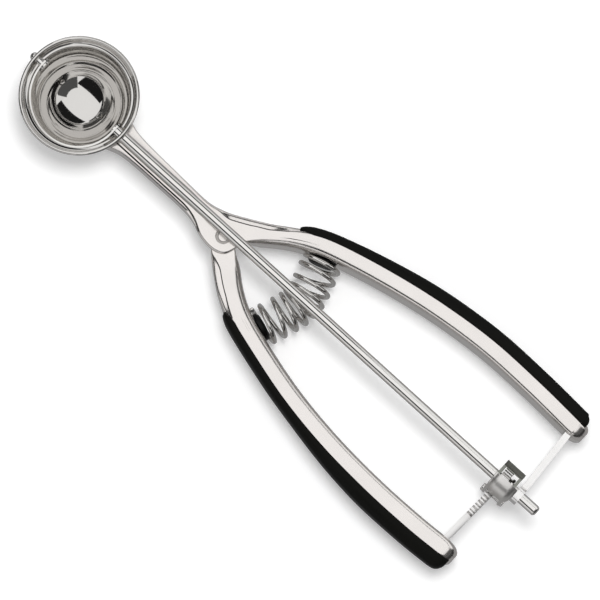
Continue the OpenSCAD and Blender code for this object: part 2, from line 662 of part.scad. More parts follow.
// Tubular rivet, flush in the front leaf, with a formed head under the washer
washer_t = 0.8;
washer_z = leaf_z - sheet_t - 0.1 - washer_t;
module hinge_rivet() {
    color("gainsboro") translate([pivot[0], pivot[1], 0]) difference() {
        union() {
            translate([0, 0, washer_z - 0.8]) cylinder(h = face_z - washer_z + 0.8, d = rivet_d);
            translate([0, 0, face_z - 0.6])
                cylinder(h = 0.6, r1 = rivet_d / 2, r2 = rivet_d / 2 + 1.2);
            translate([0, 0, washer_z - 0.85]) cylinder(h = 0.8, r = rivet_d / 2 + 1);
        }
        translate([0, 0, washer_z - 1]) cylinder(h = 12, r = rivet_d / 2 - 0.7);
    }
}
module hinge_washer() {
    color("silver") translate([pivot[0], pivot[1], washer_z]) difference() {
        cylinder(h = washer_t, r = rivet_d / 2 + 1.8);
        translate([0, 0, -1]) cylinder(h = washer_t + 2, d = rivet_d);
    }
}

// The wire follows a bowed centre line from seat to seat, closed up at both ends
wire_sides = 8;
rings_per_turn = 13;
turns = coils + 2;
end_lift = wire_d / 2 + seat_lift;
function bow_point(a, b, ta, tb, t) =
    (2 * t ^ 3 - 3 * t ^ 2 + 1) * a + (t ^ 3 - 2 * t ^ 2 + t) * ta
    + (3 * t ^ 2 - 2 * t ^ 3) * b + (t ^ 3 - t ^ 2) * tb;
// Share of the length reached after k turns: the end coils lie close together
spring_ends = [fixed_seat + end_lift * fixed_seat_n,
    [moving_seat[0], -moving_seat[1]] + end_lift * [moving_seat_n[0], -moving_seat_n[1]]];
spring_len = norm(spring_ends[1] - spring_ends[0]);
end_share = (wire_d + 0.1) / spring_len;
function turn_share(k) =
    k < 1 ? end_share * k
    : k > turns - 1 ? 1 - end_share * (turns - k)
    : end_share + (1 - 2 * end_share) * (k - 1) / (turns - 2);
spring_pull = spring_bow * 8 / (fixed_seat_n[0] + moving_seat_n[0]);
function spring_axis(t) =
    bow_point(spring_ends[0], spring_ends[1], spring_pull * fixed_seat_n,
        -spring_pull * [moving_seat_n[0], -moving_seat_n[1]], t);
function wire_centre(k) =
    let (t = turn_share(k), p = spring_axis(t),
        q = spring_axis(min(t + 0.01, 1)) - spring_axis(max(t - 0.01, 0)),
        d = q / norm(q), side = [d[1], -d[0]], a = 360 * k + 20)
    [p[0] + side[0] * spring_r * cos(a), p[1] + side[1] * spring_r * cos(a),
        spring_z + spring_r * sin(a)];
function wire_ring(k) =
    let (c = wire_centre(k), v = wire_centre(k + 0.02) - wire_centre(k - 0.02),
        f = v / norm(v), p = spring_axis(turn_share(k)),
        out = c - [p[0], p[1], spring_z], r0 = out - (out * f) * f, r = r0 / norm(r0),
        b = cross(f, r))
    [for (j = [0 : wire_sides - 1]) let (a = 360 * j / wire_sides)
        c + wire_d / 2 * (cos(a) * r + sin(a) * b)];
module return_spring() {
    color("dimgray") loft([for (k = [0 : 1 / rings_per_turn : turns + 0.001]) wire_ring(k)]);
}
module fixed_spring_seat() {
    color("silver") at_seat(fixed_seat, fixed_seat_n) seat_button();
}
module moving_spring_seat() {
    color("silver") on_moving_side() at_seat(moving_seat, moving_seat_n) seat_button();
}

place() bowl();
place() rod();
place() scraper_band();
place() scraper_stud();
place() fixed_handle();
place() moving_handle();
place() fixed_grip();
place() moving_grip();
place() hinge_rivet();
place() hinge_washer();
place() rack();
place() rack_rivet();
place() support_arm();
place() arm_rivet();
place() pinion();
place() pinion_spacer();
place() gear_housing();
place() rack_guide_pin();
place() return_spring();
place() fixed_spring_seat();
place() moving_spring_seat();
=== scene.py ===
"""Studio scene of a squeeze-handle scoop, dressed piece by piece round its CAD frame."""
import math
import bpy
import bmesh
from mathutils import Matrix, Vector


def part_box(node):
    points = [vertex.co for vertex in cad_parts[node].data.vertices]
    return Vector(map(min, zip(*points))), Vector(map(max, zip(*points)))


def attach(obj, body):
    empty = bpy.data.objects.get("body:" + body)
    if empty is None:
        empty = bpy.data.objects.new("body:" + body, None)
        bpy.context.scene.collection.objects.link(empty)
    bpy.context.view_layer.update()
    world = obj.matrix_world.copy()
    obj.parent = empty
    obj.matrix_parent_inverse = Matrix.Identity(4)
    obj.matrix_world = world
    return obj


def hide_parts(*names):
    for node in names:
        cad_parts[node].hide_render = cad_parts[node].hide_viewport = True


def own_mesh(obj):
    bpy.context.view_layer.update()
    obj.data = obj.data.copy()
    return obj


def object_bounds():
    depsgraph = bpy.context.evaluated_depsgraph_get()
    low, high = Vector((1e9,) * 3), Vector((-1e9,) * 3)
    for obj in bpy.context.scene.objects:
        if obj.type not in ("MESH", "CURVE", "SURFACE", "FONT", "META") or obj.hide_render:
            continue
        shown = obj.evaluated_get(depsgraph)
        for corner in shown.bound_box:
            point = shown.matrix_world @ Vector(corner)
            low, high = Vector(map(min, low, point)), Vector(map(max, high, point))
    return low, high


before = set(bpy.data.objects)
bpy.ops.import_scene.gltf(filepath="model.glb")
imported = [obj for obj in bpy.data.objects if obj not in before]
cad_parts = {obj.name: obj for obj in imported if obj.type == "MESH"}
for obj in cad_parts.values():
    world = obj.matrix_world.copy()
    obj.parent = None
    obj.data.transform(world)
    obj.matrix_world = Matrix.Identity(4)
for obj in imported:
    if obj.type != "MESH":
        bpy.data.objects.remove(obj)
cad_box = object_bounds()

# ---------------------------------------------------------------------------------------
# Bowl.  One deep-drawn cup of thin stainless sheet, spun and polished bright inside.  A
# collar steps out under the mouth and its edge is rolled into a bead.  The rod and the
# stud of the scraper pass through two punched holes.
# ---------------------------------------------------------------------------------------
MM = 0.001
bowl_low, bowl_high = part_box("bowl")
mouth = Vector(((bowl_low[0] + bowl_high[0]) / 2, (bowl_low[1] + bowl_high[1]) / 2, bowl_high[2]))


def from_mouth(box):
    """The corners of a CAD box in millimetres from the middle of the mouth."""
    return [[(c - m) / MM for c, m in zip(corner, mouth)] for corner in box]


rod_low, rod_high = from_mouth(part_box("rod"))
rod_z, rod_r = (rod_low[2] + rod_high[2]) / 2, (rod_high[2] - rod_low[2]) / 2
# run_fit is the play round a part that turns in a hole, in millimetres
run_fit = 0.05
bowl_wall = 0.8
rim_bead = 0.65
rim_r = (bowl_high[0] - bowl_low[0]) / 2 / MM
bowl_out = rod_z - (bowl_low[2] - mouth.z) / MM
bowl_r = bowl_out - bowl_wall
collar_depth = 3.0


def spot(x, y, z):
    """A place on the tool in millimetres: x along the rod from the middle of the mouth,
    y towards the fixed handle, z up from the plane of the mouth."""
    return mouth + Vector((x, y, z)) * MM


def new_piece(name, places, faces, length_marks=None):
    """A mesh from places in millimetres. length_marks gives each vertex its distance along
    and across the sheet, in metres, which becomes the UV map that grain follows."""
    mesh = bpy.data.meshes.new(name)
    mesh.from_pydata([spot(*p) for p in places], [], faces)
    if length_marks:
        layer = mesh.uv_layers.new(name="grain")
        for loop in mesh.loops:
            layer.data[loop.index].uv = length_marks[loop.vertex_index]
    mesh.validate()
    piece = bpy.data.objects.new(name, mesh)
    bpy.context.scene.collection.objects.link(piece)
    return piece


def outward(piece):
    """Turns all faces of a closed mesh to look outwards."""
    shell = bmesh.new()
    shell.from_mesh(piece.data)
    bmesh.ops.recalc_face_normals(shell, faces=shell.faces)
    shell.to_mesh(piece.data)
    shell.free()


def settle(piece):
    """Applies the piece's modifiers to its mesh."""
    ready = piece.evaluated_get(bpy.context.evaluated_depsgraph_get())
    mesh = bpy.data.meshes.new_from_object(ready)
    piece.modifiers.clear()
    piece.data = mesh


def combine(piece, operation, tools):
    """Joins the tools to the piece, or takes them out of it, and removes them."""
    for tool in tools:
        step = piece.modifiers.new("step", "BOOLEAN")
        step.operation, step.solver, step.object = operation, "EXACT", tool
    settle(piece)
    for tool in tools:
        bpy.data.objects.remove(tool, do_unlink=True)


def cut(piece, *tools):
    combine(piece, "DIFFERENCE", tools)


def fuse(piece, *tools):
    combine(piece, "UNION", tools)


def ease_edges(piece, width, steps=2, angle=40):
    """Breaks the sharp edges by width millimetres."""
    ease = piece.modifiers.new("ease", "BEVEL")
    ease.width = width * MM
    ease.segments = steps
    ease.limit_method = "ANGLE"
    ease.angle_limit = math.radians(angle)
    settle(piece)


def shade(piece, crease=32):
    """Smooth shading with creases at the edges that are sharper than the angle."""
    piece.data.polygons.foreach_set("use_smooth", [True] * len(piece.data.polygons))
    piece.data.set_sharp_from_angle(angle=math.radians(crease))


def lathe(name, profile, centre, axis, steps=96):
    """Turns a closed profile of (radius, along) about an axis through centre."""
    side = (0, 1, 0) if axis == "x" else (1, 0, 0)
    along = Vector((1, 0, 0)) if axis == "x" else Vector((0, 0, 1))
    places, faces = [], []
    for i in range(steps):
        turn = Matrix.Rotation(2 * math.pi * i / steps, 3, along)
        ray = turn @ Vector(side)
        places += [tuple(Vector(centre) + ray * r + along * a) for r, a in profile]
    n = len(profile)
    for i in range(steps):
        a, b = i * n, (i + 1) % steps * n
        faces += [(a + j, a + (j + 1) % n, b + (j + 1) % n, b + j) for j in range(n)]
    piece = new_piece(name, places, faces)
    tidy = bmesh.new()
    tidy.from_mesh(piece.data)
    bmesh.ops.remove_doubles(tidy, verts=tidy.verts, dist=0.002 * MM)
    bmesh.ops.dissolve_degenerate(tidy, edges=tidy.edges, dist=0.001 * MM)
    bmesh.ops.recalc_face_normals(tidy, faces=tidy.faces)
    tidy.to_mesh(piece.data)
    tidy.free()
    return piece


def drill(centre, radius, length, axis="x", steps=48):
    """A plain cylinder that starts at centre and runs along +axis; used for holes."""
    return lathe("drill", [(0, 0), (radius, 0), (radius, length), (0, length)], centre, axis, steps)


def arc(cx, cy, r, start, end, steps):
    """Points of an arc, in degrees."""
    turn = [math.radians(start + (end - start) * k / steps) for k in range(steps + 1)]
    return [(cx + r * math.cos(t), cy + r * math.sin(t)) for t in turn]


def add_node(tree, kind, operation=None, **values):
    """A shader node with its sockets set, where _ stands for a space in a socket's name
    and by is the second input of a sum."""
    made = tree.nodes.new("ShaderNode" + kind)
    if operation:
        made.operation = operation
    for name, value in values.items():
        made.inputs[1 if name == "by" else name.replace("_", " ")].default_value = value
    return made


def connect(tree, *wires):
    """Wires of a shader, each as (from node, its output, to node, its input)."""
    for start, leaving, end, entering in wires:
        tree.links.new(start.outputs[leaving], end.inputs[entering])


def two_tones(tree, first, second):
    """A node that blends two colours."""
    blend = add_node(tree, "Mix")
    blend.data_type = "RGBA"
    blend.inputs["A"].default_value = (*first, 1)
    blend.inputs["B"].default_value = (*second, 1)
    return blend


def steel_marks_group():
    """What a bright steel surface shows on a close look: fine drawing lines that run along
    the first coordinate, cloudy smudges and a few stray scratches."""
    group = bpy.data.node_groups.new("steel_marks", "ShaderNodeTree")
    face = group.interface
    face.new_socket("Place", in_out="INPUT", socket_type="NodeSocketVector")
    for name, value in (("Line Scale", 900.0), ("Smudge Scale", 70.0), ("Line Depth", 0.5)):
        face.new_socket(name, in_out="INPUT", socket_type="NodeSocketFloat").default_value = value
    for name in ("Lines", "Smudges", "Height"):
        face.new_socket(name, in_out="OUTPUT", socket_type="NodeSocketFloat")
    given, out = group.nodes.new("NodeGroupInput"), group.nodes.new("NodeGroupOutput")
    stretch = add_node(group, "VectorMath", "MULTIPLY", by=(0.012, 1.0, 1.0))
    lines = add_node(group, "TexNoise", Detail=3.0, Roughness=0.6)
    smudges = add_node(group, "TexNoise", Detail=4.0)
    scratches = add_node(group, "TexNoise", Detail=1.0, Scale=260.0, Distortion=0.6)
    slant = add_node(group, "Mapping", Rotation=(0.2, 0.1, 0.7), Scale=(0.06, 1.0, 1.0))
    thin = add_node(group, "MapRange", From_Min=0.735, From_Max=0.76)
    depth = add_node(group, "Math", "MULTIPLY")
    dig = add_node(group, "Math", "MULTIPLY_ADD", by=-0.6)
    connect(group, (given, "Place", stretch, 0), (stretch, 0, lines, "Vector"),
            (given, "Line Scale", lines, "Scale"), (given, "Place", smudges, "Vector"),
            (given, "Smudge Scale", smudges, "Scale"), (given, "Place", slant, "Vector"),
            (slant, 0, scratches, "Vector"), (scratches, "Fac", thin, "Value"),
            (lines, "Fac", depth, 0), (given, "Line Depth", depth, 1), (thin, 0, dig, 0),
            (depth, 0, dig, 2), (lines, "Fac", out, "Lines"), (smudges, "Fac", out, "Smudges"),
            (dig, 0, out, "Height"))
    return group


steel_marks = steel_marks_group()


def steel(name, colour, rough, place="object", line_scale=900.0, line_depth=0.5, bump=0.15,
          rough_spread=0.08):
    """A bright stainless finish. place says what the drawing lines follow: the UV map of a
    stamped sheet, rings about the bowl's axis, or straight lines along the rod."""
    paint = bpy.data.materials.new(name)
    paint.use_nodes = True
    tree = paint.node_tree
    skin = tree.nodes["Principled BSDF"]
    skin.inputs["Metallic"].default_value = 1.0
    marks = tree.nodes.new("ShaderNodeGroup")
    marks.node_tree = steel_marks
    marks.inputs["Line Scale"].default_value = line_scale
    marks.inputs["Line Depth"].default_value = line_depth
    if place == "sheet":
        where = add_node(tree, "UVMap")
        where.uv_map = "grain"
        connect(tree, (where, "UV", marks, "Place"))
    elif place == "rings":
        where = add_node(tree, "TexCoord")
        centred = add_node(tree, "VectorMath", "SUBTRACT", by=mouth)
        split = add_node(tree, "SeparateXYZ")
        flat, ring = add_node(tree, "CombineXYZ"), add_node(tree, "CombineXYZ")
        radius = add_node(tree, "VectorMath", "LENGTH")
        connect(tree, (where, "Object", centred, 0), (centred, 0, split, 0),
                (split, "X", flat, "X"), (split, "Y", flat, "Y"), (flat, 0, radius, 0),
                (split, "X", ring, "X"), (radius, "Value", ring, "Y"), (split, "Z", ring, "Z"),
                (ring, 0, marks, "Place"))
    else:
        connect(tree, (add_node(tree, "TexCoord"), "Object", marks, "Place"))
    tint = two_tones(tree, colour, [c * 0.9 for c in colour])
    mixed = add_node(tree, "Math", "ADD")
    halved = add_node(tree, "Math", "MULTIPLY", by=0.5)
    blur = add_node(tree, "MapRange", From_Min=0.3, From_Max=0.7,
                    To_Min=max(rough - rough_spread / 2, 0.02), To_Max=rough + rough_spread / 2)
    relief = add_node(tree, "Bump", Strength=bump, Distance=0.02 * MM)
    connect(tree, (marks, "Smudges", tint, "Factor"), (tint, "Result", skin, "Base Color"),
            (marks, "Lines", mixed, 0), (marks, "Smudges", mixed, 1), (mixed, 0, halved, 0),
            (halved, 0, blur, "Value"), (blur, 0, skin, "Roughness"),
            (marks, "Height", relief, "Height"), (relief, 0, skin, "Normal"))
    return paint


# Draw rings: degrees below the level of the rod, height in millimetres, width in degrees
draw_rings = ((13, 0.14, 2.6), (24, 0.26, 3), (36, 0.14, 2), (47.5, 0.05, 1.5))


def wall_place(angle):
    """A place on the inner skin of the bowl, at an angle from the level of the rod."""
    r = bowl_r + sum(h * math.exp(-((angle + a) / w) ** 2) for a, h, w in draw_rings)
    return r * math.cos(math.radians(angle)), rod_z + r * math.sin(math.radians(angle))


bead_r, bead_z = rim_r - rim_bead, -rim_bead * 0.95
collar_r, collar_low = bead_r - bowl_wall, -collar_depth - bowl_wall
heel_r, cove_r, lip_r = 0.45, 1.15, 0.42
skirt_top = math.degrees(math.asin(0.4 / bowl_out))
bowl_profile = (
    [(x, y + rod_z) for x, y in arc(0, 0, bowl_out, -90, skirt_top, 40)]
    + [(bowl_out + 0.1, collar_low)]
    + arc(bead_r - heel_r, collar_low + heel_r, heel_r, -90, 0, 4)
    + [(bead_r, -2 * rim_bead)]
    + arc(bead_r, bead_z, rim_bead, -90, 90, 12)[1:]
    + arc(bead_r, bead_z, rim_bead, 90, 176, 6)[1:]
    + [(collar_r, bead_z - 0.4)]
    + arc(collar_r - cove_r, -collar_depth + 1.3, cove_r, 0, -72, 9)
    + arc(bowl_r + lip_r, -collar_depth - 0.32, lip_r, 98, 180, 6)
    + [wall_place(-k * 0.75) for k in range(1, 121)]
)
bowl = lathe("Bowl", bowl_profile, (0, 0, 0), "z", 160)
stud_r = 1.5
cut(bowl, drill((8, 0, rod_z), rod_r + run_fit, 14), drill((-26, 0, rod_z), stud_r, 14))
shade(bowl, 50)
bowl_steel = steel("Polished_bowl_steel", (0.69, 0.675, 0.655), 0.05, "rings", 700, 0.4, 0.05, 0.04)
bowl.data.materials.append(bowl_steel)
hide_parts("bowl")
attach(bowl, "frame")

# ---------------------------------------------------------------------------------------
# Scraper band.  A narrow strip of spring-hard stainless bent to the inside of the bowl.
# Its ends are round eyes, one peened on the rod and one turning on the stud.
# ---------------------------------------------------------------------------------------
band_low, band_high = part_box("scraper_band")
band_out = (band_high[0] - band_low[0]) / 2 / MM
band_t = 0.6
band_w = 6.0
eye_r = 2.7
tenon_r = 1.2
rest_tilt = -70.0


def band_half_width(angle):
    """Half the strip's width at an angle round the bowl: widest in the middle."""
    away = abs(angle + 90) / 90
    return eye_r + (band_w / 2 - eye_r) * max(0.0, 1 - (away / 0.85) ** 4)


band_places, band_faces = [], []
band_steps = 56
for i in range(band_steps + 1):
    angle = -180 + 180 * i / band_steps
    half = band_half_width(angle)
    for r, side in ((band_out, -1), (band_out, 1), (band_out - band_t, 1), (band_out - band_t, -1)):
        x = r * math.cos(math.radians(angle))
        z = r * math.sin(math.radians(angle))
        band_places.append((x, side * half, z))
for i in range(band_steps):
    a = 4 * i
    band_faces += [(a + j, a + (j + 1) % 4, a + 4 + (j + 1) % 4, a + 4 + j) for j in range(4)]
band_faces += [(0, 1, 2, 3), tuple(4 * band_steps + j for j in (3, 2, 1, 0))]
tilt = Matrix.Rotation(math.radians(rest_tilt), 3, "X")
band = new_piece("Scraper_band", [tuple(tilt @ Vector(p) + Vector((0, 0, rod_z)))
                                  for p in band_places], band_faces)
outward(band)
fuse(band, *[drill((x, 0, rod_z), eye_r, band_t) for x in (-band_out, band_out - band_t)])
cut(band, drill((10, 0, rod_z), tenon_r, 10), drill((-20, 0, rod_z), stud_r + run_fit, 10))
ease_edges(band, 0.12, 2, 35)
shade(band, 40)
band_steel = steel("Scraper_steel", (0.78, 0.77, 0.75), 0.1, "object", 800, 0.4, 0.08)
band.data.materials.append(band_steel)
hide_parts("scraper_band")
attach(band, "drive")

# ---------------------------------------------------------------------------------------
# Scraper stud.  A small turned pin pressed through the bowl and its collar opposite the
# rod.  The flange inside keeps the band in place and a ball head stands clear of the rim.
# ---------------------------------------------------------------------------------------
stud_tip = from_mouth(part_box("scraper_stud"))[0][0]
ball_r = 1.45
flange_x = band_t - band_out
stud_profile = (
    [(0, flange_x + 0.75), (1.7, flange_x + 0.75), (2.2, flange_x + 0.5)]
    + [(2.2, flange_x + 0.15), (stud_r, flange_x + 0.15), (stud_r, 0.75 - rim_r)]
    + [(1.15, 0.45 - rim_r), (1.0, stud_tip + 2.4)]
    + arc(0, stud_tip + ball_r, ball_r, 45, -90, 14)
)
stud = lathe("Scraper_stud", stud_profile, (0, 0, rod_z), "x", 40)
shade(stud, 35)
turned_steel = steel("Turned_steel", (0.78, 0.77, 0.755), 0.16, "object", 1200, 0.6, 0.1)
stud.data.materials.append(turned_steel)
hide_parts("scraper_stud")
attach(stud, "frame")

# ---------------------------------------------------------------------------------------
# Drive rod.  Bright drawn stainless bar.  A shoulder and a peened tenon hold the band at
# one end, and the other end is left standing behind the support arm with a rounded tip.
# ---------------------------------------------------------------------------------------
rod_end = rod_high[0]
shoulder = band_out + 0.02
peen_x = shoulder - band_t
tip_r = 1.1
rod_profile = (
    [(0, peen_x - 0.72), (1.3, peen_x - 0.72), (1.8, peen_x - 0.4), (1.8, peen_x - 0.03)]
    + [(tenon_r, peen_x - 0.03), (tenon_r, shoulder), (rod_r, shoulder)]
    + arc(rod_r - tip_r, rod_end - tip_r, tip_r, 0, 90, 8)
    + [(0, rod_end)]
)
rod = lathe("Drive_rod", rod_profile, (0, 0, rod_z), "x", 64)
shade(rod, 35)
rod_steel = steel("Drawn_rod_steel", (0.82, 0.805, 0.785), 0.06, "object", 1500, 0.8, 0.08, 0.05)
rod.data.materials.append(rod_steel)
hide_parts("rod")
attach(rod, "drive")

# ---------------------------------------------------------------------------------------
# Fixed handle.  Neck, hinge ear and handle are one stamping of stainless sheet, folded to
# an open channel.  A groove runs down the neck under the rod, and the neck is welded to
# the bowl.  Each row is one station: outer x, y and inner x, y of the front face.
# ---------------------------------------------------------------------------------------
sheet_t = 1.1
rod_gap = leaf_gap = 0.3
shoulder_rise = 1.3
face_z = rod_z - rod_r - rod_gap
leaf_drop = -(sheet_t + leaf_gap)
fixed_edges = (
    (16.0, 6.2, 16.0, -6.0), (21.0, 4.5, 21.0, -4.3), (27.5, 3.8, 27.5, -3.8),
    (38.0, 3.4, 38.0, -3.7), (47.0, 3.1, 47.0, -3.75), (54.0, 3.3, 53.0, -4.6),
    (59.5, 4.9, 58.5, -6.8), (63.0, 6.5, 64.0, -7.35), (65.5, 7.8, 67.96, -5.71),
    (67.6, 8.9, 69.6, -1.75), (69.6, 10.0, 70.4, 0.9), (73.3, 12.1, 74.6, 4.6),
    (79.0, 15.9, 81.6, 9.8), (86.0, 20.2, 88.8, 13.7), (95.5, 23.6, 97.6, 16.7),
    (112.0, 27.7, 113.6, 20.8), (130.0, 31.0, 131.0, 24.1), (150.0, 33.1, 150.3, 26.1),
    (170.0, 33.1, 169.8, 26.1), (186.5, 32.4, 186.0, 25.4), (188.6, 32.15, 188.4, 25.45),
    (189.8, 32.0, 189.7, 25.55), (190.82, 31.65, 190.78, 25.88), (191.57, 31.12, 191.55, 26.36),
    (191.97, 30.6, 191.97, 26.84), (192.17, 30.15, 192.17, 27.3),
)
# Section at the same stations: rise of the shoulders, outer bend, inner bend, wall depths
fixed_sections = (
    (1.3, 0.4, 0.7, 8.6, 8.6), (1.3, 0.4, 0.7, 8.6, 8.6), (1.3, 0.4, 0.7, 8.6, 8.6),
    (1.3, 0.4, 0.7, 8.6, 8.6), (1.3, 0.6, 0.7, 8.6, 8.6), (0.43, 1.0, 0.8, 8.6, 6.0),
    (0, 1.4, 0.9, 9.5, 1.4), (0, 1.9, 0.9, 9.5, 1.4), (0, 1.9, 0.9, 9.5, 1.4),
    (0, 1.9, 0.9, 9.5, 1.4), (0, 1.9, 1.2, 9.5, 2.4), (0, 1.9, 2.4, 9.5, 9.5),
    (0, 1.9, 2.8, 10.5, 10.5), (0, 1.9, 2.8, 12.0, 12.0), (0, 1.9, 2.6, 13.0, 13.0),
    (0, 1.9, 2.3, 13.0, 13.0), (0, 1.9, 2.1, 13.0, 13.0), (0, 1.9, 1.9, 13.0, 13.0),
    (0, 1.9, 1.9, 12.5, 12.5), (0, 1.9, 1.9, 12.0, 12.0), (0, 2.1, 2.1, 11.5, 11.5),
    (-0.2, 2.4, 2.4, 11.0, 11.0), (-0.75, 2.4, 2.4, 10.2, 10.2), (-1.5, 2.0, 2.0, 9.3, 9.3),
    (-2.15, 1.6, 1.6, 8.4, 8.4), (-2.7, 1.3, 1.3, 7.6, 7.6),
)


def edge_at(rows, s):
    """The two face edges at station s, on a smooth curve through the rows."""
    last = len(rows) - 1
    i = min(int(s), last - 1)
    t = s - i
    a, b, c, d = rows[max(i - 1, 0)], rows[i], rows[i + 1], rows[min(i + 2, last)]
    return [0.5 * (2 * q + (r - p) * t + (2 * p - 5 * q + 4 * r - u) * t * t
            + (3 * q - p - 3 * r + u) * t ** 3) for p, q, r, u in zip(a, b, c, d)]


def section_at(rows, s):
    """The section at station s: the rise runs smoothly, the rest straight between rows."""
    i = min(int(s), len(rows) - 2)
    row = [p + (q - p) * (s - i) for p, q in zip(rows[i], rows[i + 1])]
    return [edge_at(rows, s)[0]] + row[1:]


def crown(middle, half, rise, side, depth):
    """Across the face: a round hollow for the rod between two sloping shoulders. Under the
    sheet, where side is -1, it is a plain wave."""
    steps = (-1, -0.97, -0.82, -0.45, 0, 0.45, 0.82, 0.97, 1)
    if side < 0:
        return [(middle - half * k, depth - rise * math.cos(math.pi / 2 * k)) for k in steps]
    lift = 0.05 * min(rise / shoulder_rise, 1)
    hollow = [(middle + half * k, depth + lift - (rise + lift) * math.sqrt(1 - k * k))
              for k in steps]
    return [(middle - half - 0.12, depth)] + hollow + [(middle + half + 0.12, depth)]


def channel_ring(width, middle, rise, outer, inner, outer_wall, inner_wall, fold, welt_at, lip=0.2):
    """Section of the folded sheet: (distance from the inner edge, height over the face).
    Where fold is 1, a fine step parts the face from a sloping outer shoulder. On the neck,
    a second step at welt_at parts the strip beside the rod from the inner shoulder."""
    q_out, q_in = max(outer - sheet_t, 0.05), max(inner - sheet_t, 0.05)
    low_out, low_in = max(outer, sheet_t + q_out, 2.4 * fold), max(inner, sheet_t + q_in)
    half = max(min(rod_r + 0.02, middle - low_in - 0.15, width - low_out - middle - 0.15), 0.1)
    neck = min(rise / shoulder_rise, 1)
    slope = -0.06 * neck
    stepped = ((-2.54, 0), (-2.46, 0), (-2.14, -0.22), (-2.04, -0.24), (-1.2, -0.33), (-0.6, -0.45),
               (-0.27, -0.7), (-0.07, -1.15), (0, -1.8))
    welt = ((0, -0.85), (0.03, -0.6), (0.1, -0.48), (0.2, -0.42), (welt_at - 0.36, -0.3),
            (welt_at - 0.28, -0.28), (welt_at + 0.16, -0.02), (welt_at + 0.22, 0))
    shoulder = [(width + a * fold + (x - width) * (1 - fold), h * fold + y * (1 - fold) + slope)
                for (a, h), (x, y) in zip(stepped, arc(width - outer, -outer, outer, 90, 0, 8))]
    return (
        [(0, -inner_wall + lip)]
        + [(a * neck + x * (1 - neck), h * neck + y * (1 - neck) + slope)
           for (a, h), (x, y) in zip(welt, arc(inner, -inner, inner, 180, 90, 7))]
        + crown(middle, half, rise, 1, 0)
        + shoulder
        + [(width, -outer_wall + lip), (width - lip, -outer_wall)]
        + [(width - sheet_t + lip, -outer_wall), (width - sheet_t, -outer_wall + lip)]
        + arc(width - sheet_t - q_out, -sheet_t - q_out - 0.5 * fold, q_out, 0, 90, 5)
        + crown(middle, half, rise, -1, -sheet_t)
        + arc(sheet_t + q_in, -sheet_t - q_in, q_in, 90, 180, 5)
        + [(sheet_t, -inner_wall + lip), (sheet_t - lip, -inner_wall), (lip, -inner_wall)]
    )


def channel_station(edges, sections, s, side, folds):
    """One ring of a handle in place; side is 1 for the fixed handle, -1 for the moving.
    folds are the stations where the step beside the face begins and ends."""
    ox, oy, ix, iy = edge_at(edges, s)
    rise, outer, inner, outer_wall, inner_wall = section_at(sections, s)
    width = math.hypot(ox - ix, oy - iy)
    ux, uy = (ox - ix) / width, (oy - iy) / width
    middle = width * min(max(-iy / (oy - iy), 0.42), 0.6)
    fold = min(max(s - folds[0], 0), 1) * min(max((folds[1] - s) / 1.2, 0), 1)
    welt_at = max(-iy - 2.63, 0.7)
    ring = channel_ring(width, middle, max(rise, 0), outer, inner, outer_wall, inner_wall,
                        fold, welt_at)
    return [(ix + ux * a, side * (iy + uy * a), face_z + rise + h) for a, h in ring]


def loft(name, rings):
    """A closed skin through rings of equal length, with a UV map along and across it."""
    n = len(rings[0])
    places = [p for ring in rings for p in ring]
    middles = [[sum(c) / n for c in zip(*ring)] for ring in rings]
    along, marks = 0.0, []
    for k, ring in enumerate(rings):
        if k:
            along += math.dist(middles[k], middles[k - 1])
        across = 0.0
        for j, p in enumerate(ring):
            if j:
                across += math.dist(p, ring[j - 1])
            marks.append((along * MM, across * MM))
    faces = [(k * n + j, k * n + (j + 1) % n, (k + 1) * n + (j + 1) % n, (k + 1) * n + j)
             for k in range(len(rings) - 1) for j in range(n)]
    last = (len(rings) - 1) * n
    faces += [tuple(reversed(range(n))), tuple(range(last, last + n))]
    piece = new_piece(name, places, faces, marks)
    outward(piece)
    return piece


def handle(name, edges, sections, side, folds, welts=(0, 0)):
    """A stamping with six rings to a station. The strips in its two fine steps, beside the face
    over folds and beside the rod over welts, get the second material, a near-black painted shade
    that darkens the creases."""
    steps = [k / 6 for k in range((len(edges) - 1) * 6 + 1)]
    rings = [channel_station(edges, sections, s, side, folds) for s in steps]
    piece = loft(name, rings)
    piece.data.materials.append(handle_steel)
    piece.data.materials.append(crease_painted_shade)
    welt_strip, fold_strip = 6, 21
    for k, s in enumerate(steps[:-1]):
        if welts[0] <= s < welts[1]:
            piece.data.polygons[k * len(rings[0]) + welt_strip].material_index = 1
        if folds[0] + 0.5 <= s < folds[1] - 0.4:
            piece.data.polygons[k * len(rings[0]) + fold_strip].material_index = 1
    return piece


def block(low, high):
    """A box from its low to its high corner."""
    corners = [(x, y, z) for z in (low[2], high[2]) for y in (low[1], high[1])
               for x in (low[0], high[0])]
    sides = [(0, 2, 3, 1), (4, 5, 7, 6), (0, 1, 5, 4), (2, 6, 7, 3), (0, 4, 6, 2), (1, 3, 7, 5)]
    return new_piece("slot", corners, sides)


